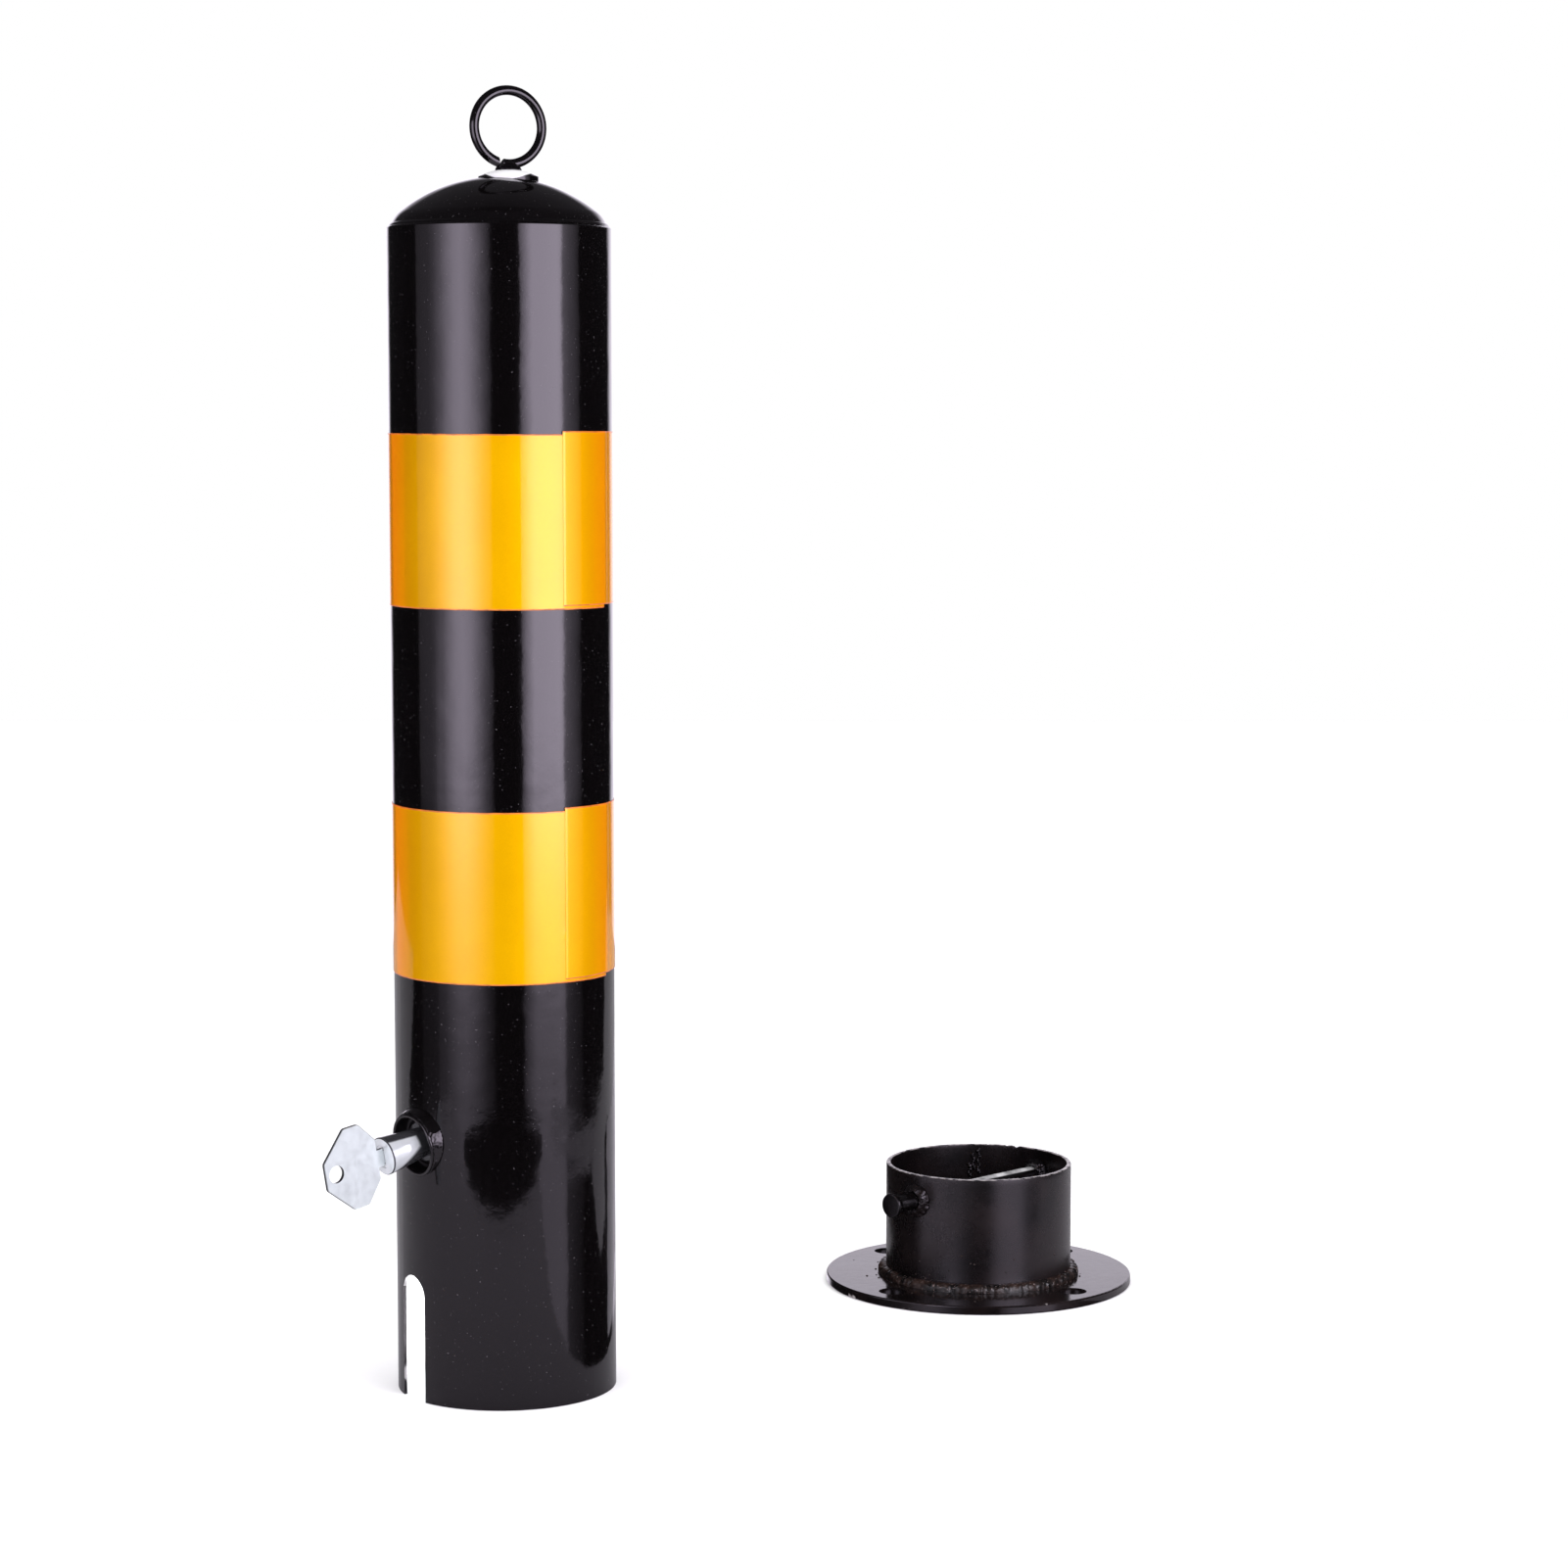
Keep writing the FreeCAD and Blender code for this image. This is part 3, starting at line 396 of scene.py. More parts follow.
def plated(name, colour, roughness, relief_height=0.08, metal=1.0, edge=None):
    """Plated metal with fine marks. edge, where given, makes a mask of painted shade that darkens it."""
    made, tree, shader = material(name)
    here = place(tree, origin=POST_AXIS)
    marks = grain(tree, here, 300.0, 3.0)
    toned = blend(tree, marks, tuple(c * 0.84 for c in colour), colour)
    if edge:
        # Where an edge mask is given, it darkens the metal with painted shade
        toned = blend(tree, edge(tree, here), toned, PAINTED_SHADE_GREY)
    tree.links.new(toned, shader.inputs["Base Color"])
    rough = sums(tree, "MULTIPLY_ADD", marks, roughness, roughness * 0.6)
    tree.links.new(rough, shader.inputs["Roughness"])
    tree.links.new(relief(tree, marks, relief_height, 0.0003), shader.inputs["Normal"])
    set_plain(shader, Metallic=metal)
    return made


def cut_sides(tree, here):
    """The sheared sides of the key, all round its flat faces, darkened with painted shade."""
    turn = math.radians(LOCK_AZIMUTH)
    geometry = tree.nodes.new("ShaderNodeNewGeometry")
    facing = along_way(tree, geometry.outputs["True Normal"], (math.cos(turn), -math.sin(turn), 0))
    return step(tree, sums(tree, "ABSOLUTE", facing), 0.80, 0.60)


# Slopes of the upper and lower limits of the painted shade along the barrel
CREST_SLOPE = -0.095
UNDER_SLOPE = 0.62


def painted_barrel_shade(tree, here):
    """Painted shade and painted dark reflections on the barrel: round the edge of its face, in a line
    along its top, at its root, and under it, in a wedge that widens towards the post."""
    turn, tilt = math.radians(LOCK_AZIMUTH), math.radians(LOCK_TILT)
    out = Vector((-math.sin(turn), -math.cos(turn), 0))
    up = Vector((0, 0, 1))
    way = out * math.cos(tilt) - up * math.sin(tilt)
    rise = out * math.sin(tilt) + up * math.cos(tilt)
    across = Vector((math.cos(turn), -math.sin(turn), 0))
    foot = out * POST_RADIUS + up * LOCK_HEIGHT
    reach = sums(tree, "SUBTRACT", along_way(tree, here, way), foot.dot(way) + BARREL_FACE - POST_RADIUS)
    level = sums(tree, "SUBTRACT", along_way(tree, here, rise), foot.dot(rise))
    side = sums(tree, "SUBTRACT", along_way(tree, here, across), foot.dot(across))
    rim = times(tree, step(tree, reach, -0.0010, -0.0006), step(tree, reach, -0.00001, -0.0001),
                step(tree, hypotenuse(tree, level, side), 0.0070, 0.0074))
    root = step(tree, reach, -0.0170, -0.0192)
    crest = step(tree, sums(tree, "MULTIPLY_ADD", reach, CREST_SLOPE, level), 0.0076, 0.0084)
    under = step(tree, sums(tree, "MULTIPLY_ADD", reach, UNDER_SLOPE, level), -0.0085, -0.0115)
    painted_dark = sums(tree, "MAXIMUM", sums(tree, "MAXIMUM", rim, root), sums(tree, "MAXIMUM", crest, under))
    behind_face = step(tree, reach, -0.0004, -0.0008)
    return times(tree, painted_dark, sums(tree, "MAXIMUM", behind_face, rim))


def rusty_weld(name):
    """Thin paint over a rough weld, with rust showing through and fine specks of painted glint."""
    made, tree, shader = material(name)
    here = place(tree)
    patches = grain(tree, here, 130.0, 4.0, 0.6)
    rust = ramp(tree, patches, [(0.42, 0.0), (0.62, 1.0)])
    colour = blend(tree, rust, WELD_BLACK, WELD_RUST)
    # Pale specks of painted glint
    glint = ramp(tree, grain(tree, here, 900.0, 1.0), [(0.68, 0.0), (0.72, 1.0)])
    colour = blend(tree, glint, colour, WELD_GLINT)
    tree.links.new(colour, shader.inputs["Base Color"])
    tree.links.new(ramp(tree, patches, [(0.3, 0.18), (0.7, 0.55)]), shader.inputs["Roughness"])
    tree.links.new(relief(tree, patches, 0.4, 0.0008), shader.inputs["Normal"])
    return made


def paper(name, first, second):
    """Matt fibrous paper between two tones."""
    made, tree, shader = material(name)
    here = place(tree)
    fibre = grain(tree, here, 220.0, 3.0)
    tree.links.new(blend(tree, fibre, first, second), shader.inputs["Base Color"])
    set_plain(shader, Roughness=0.9, Specular_IOR_Level=0.1)
    return made


post_black = enamel("post_black", POST_AXIS, 0.10, inside_foot)
# The seat's material paints a highlight on the front of the button.
seat_black = enamel("seat_black", SEAT_PLACE, 0.12, painted_seat_highlight)
ring_black = enamel("ring_black", SEAT_PLACE, 0.16, unrest=0.3)
recess_black = enamel("recess_black", POST_AXIS, 0.5)
# The cross bar's material paints a highlight along the top of the bar.
bar_black = enamel("bar_black", (0, 0, 0), 0.16, painted_bar_highlight)
base_black = blotched("base_black", 0.20)
flange_black = blotched("flange_black", 0.07)
weld_rust = rusty_weld("weld_rust")
film = yellow_film("film")
film_rim = film_edge("film_rim")
# The chrome paints shade and dark reflections on the barrel.
chrome = plated("chrome", (0.91, 0.95, 0.98), 0.10, metal=0.55, edge=painted_barrel_shade)
# The nickel paints shade on the key's sides.
nickel = plated("nickel", (0.695, 0.755, 0.755), 0.34, 0.13, 0.75, cut_sides)
zinc = plated("zinc", (0.62, 0.63, 0.64), 0.3)
brass = plated("brass", (0.75, 0.56, 0.25), 0.2)


def give(node_name, paint):
    """Puts a material on every slot of a CAD node."""
    mesh = nodes[node_name].data
    if not mesh.materials:
        mesh.materials.append(paint)
    for i in range(len(mesh.materials)):
        mesh.materials[i] = paint


def dress_frame():
    """Gives each CAD node its material: by its own name, or else by its slot."""
    slots = {p["node"]: p["material_slot"] for p in frame["record"]["subparts"]}
    by_slot = {
        "weld_paint": weld_rust, "yellow_film": film, "chrome_plate": chrome,
        "key_plate": nickel, "zinc_plate": zinc, "brass_plate": brass,
    }
    by_node = {
        "base_flange": flange_black, "base_sleeve": base_black, "cross_bar": bar_black,
        "stub_weld": base_black, "bar_end_weld": bar_black, "barrel_circlip": ring_black,
        "ring_seat": seat_black, "lifting_ring": ring_black, "ring_weld": ring_black,
    }
    for name in nodes:
        give(name, by_node.get(name) or by_slot.get(slots[name], post_black))


# Meshes

def finish_mesh(name, points, faces, paints, sharp=40.0):
    mesh = bpy.data.meshes.new(name)
    mesh.from_pydata(points, [], faces)
    shaped = bmesh.new()
    shaped.from_mesh(mesh)
    bmesh.ops.recalc_face_normals(shaped, faces=shaped.faces)
    shaped.to_mesh(mesh)
    shaped.free()
    for paint in paints:
        mesh.materials.append(paint)
    mesh.shade_smooth()
    mesh.set_sharp_from_angle(angle=math.radians(sharp))
    piece = bpy.data.objects.new(name, mesh)
    bpy.context.scene.collection.objects.link(piece)
    return piece


def skin(name, rows, paints, closed=False, looped=False, capped=False, sharp=40.0):
    """Mesh through rows of points. closed joins the last row to the first, looped the last
    point of each row to its first, and capped fills the two end rows."""
    count = len(rows[0])
    points = [p for row in rows for p in row]
    spans = len(rows) if closed else len(rows) - 1
    across = count if looped else count - 1
    faces = []
    for i in range(spans):
        here, after = i * count, (i + 1) % len(rows) * count
        for j in range(across):
            k = (j + 1) % count
            faces.append((here + j, here + k, after + k, after + j))
    if capped:
        faces.append(tuple(range(count)))
        faces.append(tuple(len(points) - count + j for j in range(count)))
    return finish_mesh(name, points, faces, paints, sharp)


def arc(centre, radius, start, end, steps):
    """Points of a profile arc as (out, up), with angles from the outward direction."""
    turns = [math.radians(start + (end - start) * i / steps) for i in range(steps + 1)]
    return [(centre[0] + radius * math.cos(t), centre[1] + radius * math.sin(t)) for t in turns]


def repaint(faces, count, places):
    """Second material on the faces at some places of each row of count faces."""
    for face in faces:
        if face.index % count in places:
            face.material_index = 1


def turn_point(azimuth, out, up, axis=Vector((0, 0, 0))):
    """Point at an azimuth in degrees that turns from the front to the right."""
    t = math.radians(azimuth)
    return axis + Vector((out * math.sin(t), -out * math.cos(t), up))


def bump_noise(point, scale):
    return noise.noise(point * scale)


# Bands

BUBBLES = 26
WRINKLES = 6
WRINKLE_PLACE = (40.0, 0.0266)
BAND_COLUMNS = 560
BAND_LINES = 80
CUT_STEPS = [0.0, 0.0003, 0.0007]
CUT_MARGIN = 0.0015
CUT_THINNING = 0.55
END_THINNING = 0.35
EDGE_WAVE = 0.00012
CLIMB_START, CLIMB_ANGLE = 354.0, 6.0


def film_flaws(seed, wrinkled):
    """Bubbles and short creases in a band: travelled angle, height, half sizes and rise."""
    pick = random.Random(seed)
    flaws = []
    for _ in range(BUBBLES):
        small = pick.uniform(0.0007, 0.0016)
        flaws.append((pick.uniform(5, 350), pick.uniform(0.004, BAND_HEIGHT - 0.004),
                      small, small * pick.uniform(0.8, 1.6), pick.uniform(0.00004, 0.00012)))
    if wrinkled:
        azimuth, up = WRINKLE_PLACE
        travelled = LAP_END - azimuth
        for i in range(WRINKLES):
            flaws.append((travelled + 1.5 * i - 4, up + pick.uniform(-0.004, 0.004), 0.0008,
                          pick.uniform(0.002, 0.0045), pick.uniform(0.00012, 0.0002)))
    return flaws


def flaw_rise(flaws, travelled, up):
    """How far the flaws lift the film at a place."""
    rise = 0.0
    for angle, height, wide, tall, lift in flaws:
        across = math.radians(travelled - angle) * POST_RADIUS / wide
        along = (up - height) / tall
        away = across * across + along * along
        if away < 1.0:
            rise += lift * (1.0 - away) ** 2
    return rise


def wound_band(node, seed, wrinkled):
    """One turn of film wound up the post in a slow helix, its end lapped over its start."""
    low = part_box(node)[0].z
    rise = size(node).z - BAND_HEIGHT
    turn = 360.0 + LAP_END - LAP_START
    flaws = film_flaws(seed, wrinkled)
    heights = CUT_STEPS + [CUT_MARGIN + (BAND_HEIGHT - 2 * CUT_MARGIN) * i / BAND_LINES
                           for i in range(BAND_LINES + 1)]
    heights += [BAND_HEIGHT - h for h in reversed(CUT_STEPS)]
    inner = POST_RADIUS + SKIN_GAP / 2
    rows = []
    for i in range(BAND_COLUMNS + 1):
        travelled = turn * i / BAND_COLUMNS
        share = travelled / turn
        over = min(1.0, max(0.0, (travelled - CLIMB_START) / CLIMB_ANGLE))
        under = inner + (BAND_FILM + SKIN_GAP / 4) * over * over * (3 - 2 * over)
        azimuth = LAP_END - travelled
        near = [f for f in flaws if abs(f[0] - travelled) < 5.0]
        floor = low + rise * share
        row = []
        for k, up in enumerate(heights):
            wave = EDGE_WAVE * noise.noise(Vector((travelled * 0.12, seed, 0.0)))
            thick = BAND_FILM * (CUT_THINNING if k in (0, len(heights) - 1) else 1.0)
            if i == BAND_COLUMNS:
                thick *= END_THINNING
            if near:
                thick += flaw_rise(near, travelled, up)
            row.append(turn_point(azimuth, under + thick, floor + up + wave, POST_AXIS))
        row.append(turn_point(azimuth, under, floor + BAND_HEIGHT, POST_AXIS))
        row.append(turn_point(azimuth, under, floor, POST_AXIS))
        rows.append(row)
    piece = skin(node + "_film", rows, [film, film_rim], looped=True, capped=True)
    count = len(rows[0])
    rim = {0, 1, len(heights) - 3, len(heights) - 2, len(heights) - 1, count - 1}
    repaint(piece.data.polygons[:BAND_COLUMNS * count], count, rim)
    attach(piece, "root")
    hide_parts(node)
    return piece


# Lifting ring

RING_SIDES = 28
RING_STEPS = 220
RING_DENT = 0.008


def make_ring():
    """Bent rod whose square-cut ends leave a gap that opens inwards."""
    centre = middle("lifting_ring")
    wide, deep = size("lifting_ring").x, size("lifting_ring").y
    turn = math.atan2(deep - ROD, wide - ROD)
    out_way = Vector((math.cos(turn), math.sin(turn), 0))
    side_way = Vector((-math.sin(turn), math.cos(turn), 0))
    reach = (size("lifting_ring").z - ROD) / 2
    rows = []
    for i in range(RING_STEPS + 1):
        row = []
        for j in range(RING_SIDES):
            t = 2 * math.pi * j / RING_SIDES
            away = reach + ROD / 2 * math.cos(t)
            share = (away - reach + ROD / 2) / ROD
            gap = (RING_GAP_INNER * (1 - share) + RING_GAP_OUTER * share) / away
            angle = -RING_GAP_ANGLE + gap + (2 * math.pi - 2 * gap) * i / RING_STEPS
            spine = out_way * math.sin(angle) - Vector((0, 0, math.cos(angle)))
            dent = 1 + RING_DENT * bump_noise(spine, 4.0)
            off = ROD / 2 * math.sin(t) * dent
            row.append(centre + spine * (reach + ROD / 2 * math.cos(t) * dent) + side_way * off)
        rows.append(row)
    piece = skin("ring_rod", rows, [ring_black], looped=True, capped=True)
    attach(piece, "root")
    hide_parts("lifting_ring")


# Welds

WELD_STEPS = 900
WELD_RIPPLE = 0.0042
WELD_LUMP = 0.0009
WELD_FULLNESS = 0.8


def weld_profile():
    """Outline of the bead in the corner between the flange and the sleeve."""
    inner = SLEEVE_RADIUS + SKIN_GAP
    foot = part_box("base_weld")[0].z
    profile = [(inner, foot), (inner + WELD_LEG * 0.6, foot)]
    for t in [math.radians(90 * i / 12) for i in range(13)]:
        profile.append((inner + WELD_LEG * math.cos(t) ** WELD_FULLNESS,
                        foot + WELD_LEG * math.sin(t) ** WELD_FULLNESS))
    profile.append((inner, foot + WELD_LEG * 0.6))
    return profile


def make_base_weld():
    """Bead round the sleeve: ripples left by the arc, with lumps between them."""
    profile = weld_profile()
    rows = []
    for i in range(WELD_STEPS):
        azimuth = 360.0 * i / WELD_STEPS
        row = []
        for share, (out, up) in enumerate(profile):
            point = turn_point(azimuth, out, up)
            arc_length = math.radians(azimuth) * WELD_OUTER
            drift = 0.6 * noise.noise(Vector((azimuth * 0.05, share * 0.15, 3.0)))
            wave = math.sin(2 * math.pi * (arc_length / WELD_RIPPLE + drift))
            rough = bump_noise(point, 260.0) + 0.5 * bump_noise(point, 620.0)
            swell = bump_noise(point, 45.0)
            free = math.sin(math.pi * share / (len(profile) - 1))
            push = WELD_LUMP * free * (0.22 * wave + 0.8 * rough + 0.9 * swell)
            way = Vector((point.x, point.y, 0)).normalized() + Vector((0, 0, 1))
            row.append(point + way.normalized() * push)
        rows.append(row)
    piece = skin("foot_bead", rows, [weld_rust], closed=True, looped=True, sharp=60.0)
    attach(piece, "root")
    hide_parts("base_weld")


def lumpy(node, paint, grain_size, lump, scale):
    """Fine copy of a CAD solid with an uneven, cast-looking skin."""
    source = nodes[node].copy()
    source.data = nodes[node].data.copy()
    bpy.context.scene.collection.objects.link(source)
    even = source.modifiers.new("even", "REMESH")
    even.mode = "VOXEL"
    even.voxel_size = grain_size
    soft = source.modifiers.new("soft", "SMOOTH")
    soft.factor = 0.5
    soft.iterations = 8
    ready = source.evaluated_get(bpy.context.evaluated_depsgraph_get())
    mesh = bpy.data.meshes.new_from_object(ready)
    bpy.data.objects.remove(source)
    mesh.name = node + "_skin"
    for vertex in mesh.vertices:
        point = vertex.co.copy()
        rough = bump_noise(point, scale) + 0.5 * bump_noise(point, scale * 2.6)
        vertex.co = point + vertex.normal * (lump * rough)
    mesh.materials.clear()
    mesh.materials.append(paint)
    mesh.shade_smooth()
    piece = bpy.data.objects.new(node + "_skin", mesh)
    bpy.context.scene.collection.objects.link(piece)
    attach(piece, "root")
    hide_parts(node)


DROP_HEIGHT = 0.75


def drops(name, places, paint):
    """Solidified drops of weld metal: low rounded lumps standing on a surface."""
    points, faces = [], []
    rings, sides = 5, 10
    for point, way, radius in places:
        across = way.orthogonal().normalized()
        along = way.cross(across)
        first = len(points)
        for i in range(rings):
            t = math.pi / 2 * i / rings
            for j in range(sides):
                a = 2 * math.pi * j / sides
                uneven = radius * (1 + 0.25 * noise.noise(point * 900 + Vector((a, t, 0))))
                out = across * math.cos(a) + along * math.sin(a)
                rise = DROP_HEIGHT * uneven * math.sin(t)
                points.append(point + out * (uneven * math.cos(t)) + way * rise)
        points.append(point + way * radius * DROP_HEIGHT)
        for i in range(rings - 1):
            for j in range(sides):
                k = (j + 1) % sides
                a, b = first + i * sides, first + (i + 1) * sides
                faces.append((a + j, a + k, b + k, b + j))
        last = first + (rings - 1) * sides
        for j in range(sides):
            faces.append((last + j, last + (j + 1) % sides, len(points) - 1))
        faces.append(tuple(first + j for j in range(sides)))
    piece = finish_mesh(name, points, faces, [paint], 60.0)
    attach(piece, "root")


SPATTER_COUNT = 90
SPATTER_REACH = 0.006


def make_spatter():
    """Weld spatter on the flange and low on the sleeve, thinning out away from the weld."""
    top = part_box("base_flange")[1].z
    places = []
    for _ in range(SPATTER_COUNT):
        radius = chance.uniform(0.00025, 0.0007)
        azimuth = chance.uniform(0, 360)
        away = chance.expovariate(1 / SPATTER_REACH)
        if away < 0.022 and chance.random() < 0.6:
            places.append((turn_point(azimuth, WELD_OUTER + away, top), Vector((0, 0, 1)), radius))
        elif away < 0.016:
            way = turn_point(azimuth, 1.0, 0)
            places.append((turn_point(azimuth, SLEEVE_RADIUS, top + WELD_LEG + away), way, radius))
    drops("weld_spatter", places, weld_rust)


# Sleeve

# Azimuth, half width in degrees and depth of each nick
NICKS = [(152.0, 2.6, 0.0010), (158.5, 1.6, 0.0006), (171.0, 1.2, 0.0004), (-128.0, 1.8, 0.0005),
         (24.0, 1.4, 0.00035), (-35.0, 1.0, 0.0003)]
NICK_REACH = 0.003
SLEEVE_STEPS = 480
WALL_STEPS = 16

# Azimuth, start below the rim and length of each run of weld metal
RUNS = [(177.0, 0.003, 0.016), (180.5, 0.006, 0.010), (183.0, 0.012, 0.012)]
RUN_SPACING = 0.0011


def make_sleeve():
    """Cut pipe with a filed rim, a few nicks in it, and faintly uneven walls."""
    outer, inner = SLEEVE_RADIUS, SLEEVE_RADIUS - SLEEVE_WALL
    edge, shoulder = SLEEVE_EDGE, SLEEVE_TOP - SLEEVE_EDGE
    rise = shoulder - SLEEVE_FOOT
    profile = [(outer, SLEEVE_FOOT + rise * (i / WALL_STEPS) ** 0.8) for i in range(WALL_STEPS)]
    profile += arc((outer - edge, shoulder), edge, 0, 90, 5)
    profile += arc((inner + edge, shoulder), edge, 90, 180, 5)
    profile += [(inner, shoulder - rise * ((i + 1) / WALL_STEPS) ** 1.2) for i in range(WALL_STEPS)]
    rows = []
    for i in range(SLEEVE_STEPS):
        azimuth = 360.0 * i / SLEEVE_STEPS
        cut = 0.00006 * noise.noise(Vector((azimuth * 0.3, 0, 0)))
        for centre, half, depth in NICKS:
            off = (azimuth - centre + 180.0) % 360.0 - 180.0
            if abs(off) < half:
                cut += depth * math.cos(math.pi / 2 * off / half) ** 2
        row = []
        for out, up in profile:
            near_rim = max(0.0, 1 - (SLEEVE_TOP - up) / NICK_REACH)
            way = turn_point(azimuth, 1.0, 0)
            uneven = 0.00005 * noise.noise(way * 2.2 + Vector((0, 0, up * 18)))
            row.append(turn_point(azimuth, out + uneven, up - max(0.0, cut) * near_rim))
        rows.append(row)
    piece = skin("sleeve_pipe", rows, [base_black], closed=True, looped=True, sharp=50.0)
    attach(piece, "root")
    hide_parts("base_sleeve")


def make_sleeve_drips():
    """Runs of weld metal down the inner back wall, below the rim."""
    places = []
    inner = SLEEVE_RADIUS - SLEEVE_WALL
    for run, (azimuth, start, length) in enumerate(RUNS):
        for i in range(int(length / RUN_SPACING)):
            up = SLEEVE_TOP - start - i * RUN_SPACING
            sway = 0.7 * math.sin(i * 1.3 + run)
            way = -turn_point(azimuth + sway, 1.0, 0)
            places.append((turn_point(azimuth + sway, inner, up), way, chance.uniform(0.0008, 0.0014)))
    drops("inner_runs", places, bar_black)


# Lock collar

def lock_place():
    """Matrix that takes a lock turned about the X axis to its place in the wall of the post."""
    turn = Matrix.Rotation(math.radians(270.0 - LOCK_AZIMUTH), 4, "Z")
    tilt = Matrix.Rotation(math.radians(LOCK_TILT), 4, "Y")
    wall = Matrix.Translation((POST_RADIUS, 0, 0))
    lift = Matrix.Translation(POST_AXIS + Vector((0, 0, LOCK_HEIGHT)))
    return lift @ turn @ wall @ tilt @ wall.inverted()


COLLAR_STEPS = 160


def make_collar():
    """Turned housing whose rim is rounded inside and out, and whose recess is duller."""
    outer, lip = COLLAR_RADIUS, COLLAR_RADIUS - COLLAR_RIM
    round_ = COLLAR_RIM / 2 - 0.0002
    profile = [(COLLAR_BACK, COLLAR_BORE), (COLLAR_BACK, outer - 0.0005), (COLLAR_BACK + 0.0005, outer)]
    profile += [(COLLAR_BACK + (COLLAR_FACE - round_ - COLLAR_BACK) * i / 6, outer) for i in range(1, 6)]
    profile += [(COLLAR_FACE - round_ + b, outer - round_ + a)
                for a, b in arc((0, 0), round_, 0, 90, 6)]
    profile += [(COLLAR_FACE - round_ + b, lip + round_ + a)
                for a, b in arc((0, 0), round_, 90, 180, 6)]
    profile += [(COLLAR_FLOOR + 0.0004, lip), (COLLAR_FLOOR, lip - 0.0004),
                (COLLAR_FLOOR, COLLAR_BORE + 0.0004), (COLLAR_FLOOR - 0.0004, COLLAR_BORE)]
    to_world = lock_place()
    rows = []
    for i in range(COLLAR_STEPS):
        t = 2 * math.pi * i / COLLAR_STEPS
        rows.append([to_world @ Vector((x, r * math.cos(t), r * math.sin(t))) for x, r in profile])
    piece = skin("collar_turned", rows, [post_black, recess_black], closed=True, looped=True, sharp=50.0)
    repaint(piece.data.polygons, len(profile), range(len(profile) - 5, len(profile)))
    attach(piece, "root")
    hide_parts("lock_collar")


# Studio. Its sheets and lamps are placed from the foot of the post.

FLOOR_REACH = 4.0
TABLE_LIFT = 0.0002

# Outline of the table top, with a notch that stays dark in the right side of the post
TABLE_EDGE = [
    (-0.75, -0.54), (0.42, -0.54), (0.11, -0.03), (0.11, 0.30), (0.33, 0.30), (0.33, 0.14),
    (0.62, 0.14), (0.62, -0.54), (0.78, -0.54), (0.78, 0.60), (1.35, 1.25), (1.35, 1.60),
    (-1.60, 1.60), (-1.60, 0.35), (-0.75, 0.35)]

# Pear-shaped dark flag in front of the post: its middle, half sizes, and how far its upper
# half is stretched and drawn in to a point
FLAG_DISTANCE = 0.3
FLAG_PLACE = (0.015, 0.070)
FLAG_HALF = (0.24, 0.022)
FLAG_STRETCH = 2.0
FLAG_POINTING = 2.2
FLAG_POINTS = 48

# Cards between the post and the base
CARD_PLACE = -0.13
CARD_GAP = 0.001
GREY_FRONT = -0.17
BLACK_FRONT = -0.06
CARD_BACK = 0.40
CARD_TOP = 0.12
CARD_GLOW = 0.35

# Lamps and surroundings
FOOT_LIGHT_RADIUS = 0.045
FOOT_LIGHT_LIFT = 0.002
FOOT_LIGHT_WHITE = 12.0
LAMP_AZIMUTH = 125.0
LAMP_WIDTH = 0.7
LAMP_HEIGHT = 1.5
LAMP_BRIGHTNESS = 1.2
LAMP_COLOUR = (1.0, 0.10, 0.0)
BOX_DISTANCE = 1.3
BOX_TOP = 0.95
BOX_BOTTOM = -0.60
BACKDROP_WHITE = 1.45
CEILING_GLOW = 0.065
ROOM_GLOW = 0.015
STUDIO_TINT = (1.0, 0.94, 1.06)
WHITE_FLOOR = ((0.86, 0.86, 0.865), (0.885, 0.885, 0.89))
GREY_PAPER = ((0.35, 0.34, 0.36), (0.38, 0.37, 0.39))
BLACK_PAPER = ((0.010, 0.009, 0.010), (0.013, 0.012, 0.013))
OVERHEAD_BRIGHTNESS = 3.9
OVERHEAD_WIDTH = 100.0

# Brightness of a softbox by its height, and of the ceiling by the sine of the upward angle
UPRIGHT_FADE = [(0.0, 0.14), (0.31, 0.20), (0.39, 0.28), (0.45, 0.5), (0.52, 0.95), (0.56, 1.0)]
CEILING_FADE = [(0.0, 0.0), (0.30, 0.8), (0.75, 1.0), (0.93, 0.85), (1.0, 0.25)]

# Brightness of the softboxes by azimuth
LEFT_FADE = [
    (-88.9, 0.05), (-72, 0.09), (-65, 0.16), (-58, 0.31), (-51, 0.58), (-43, 0.88), (-35, 1.0),
    (-27, 0.84), (-19, 0.50), (-13, 0.26), (-6, 0.08)]
RIGHT_FADE = [
    (24.1, 0.20), (30, 0.57), (37, 0.95), (64, 1.0), (68, 0.9), (71, 0.25), (79, 0.145), (91, 0.04)]


def sheet(name, corners, paint, mirrored_only=True):
    """Flat studio sheet. One that is mirrored only shows in reflections and casts no shadow."""
    mesh = bpy.data.meshes.new(name)
    mesh.from_pydata(corners, [], [tuple(range(len(corners)))])
    mesh.materials.append(paint)
    made = bpy.data.objects.new(name, mesh)
    bpy.context.scene.collection.objects.link(made)
    if mirrored_only:
        made.visible_camera = False
        made.visible_diffuse = False
        made.visible_shadow = False
        made.visible_transmission = False
    return made


def make_floor():
    """Pale floor, and a small grey table top that only the reflections show."""
    pale = paper("floor_paper", *WHITE_FLOOR)
    grey = paper("table_paper", *GREY_PAPER)
    far = FLOOR_REACH
    floor = sheet("floor", [(-far, -far, 0), (far, -far, 0), (far, far, 0), (-far, far, 0)], pale, False)
    floor.visible_glossy = False
    sheet("table", [(POST_AXIS.x + x, POST_AXIS.y + y, TABLE_LIFT) for x, y in TABLE_EDGE], grey)


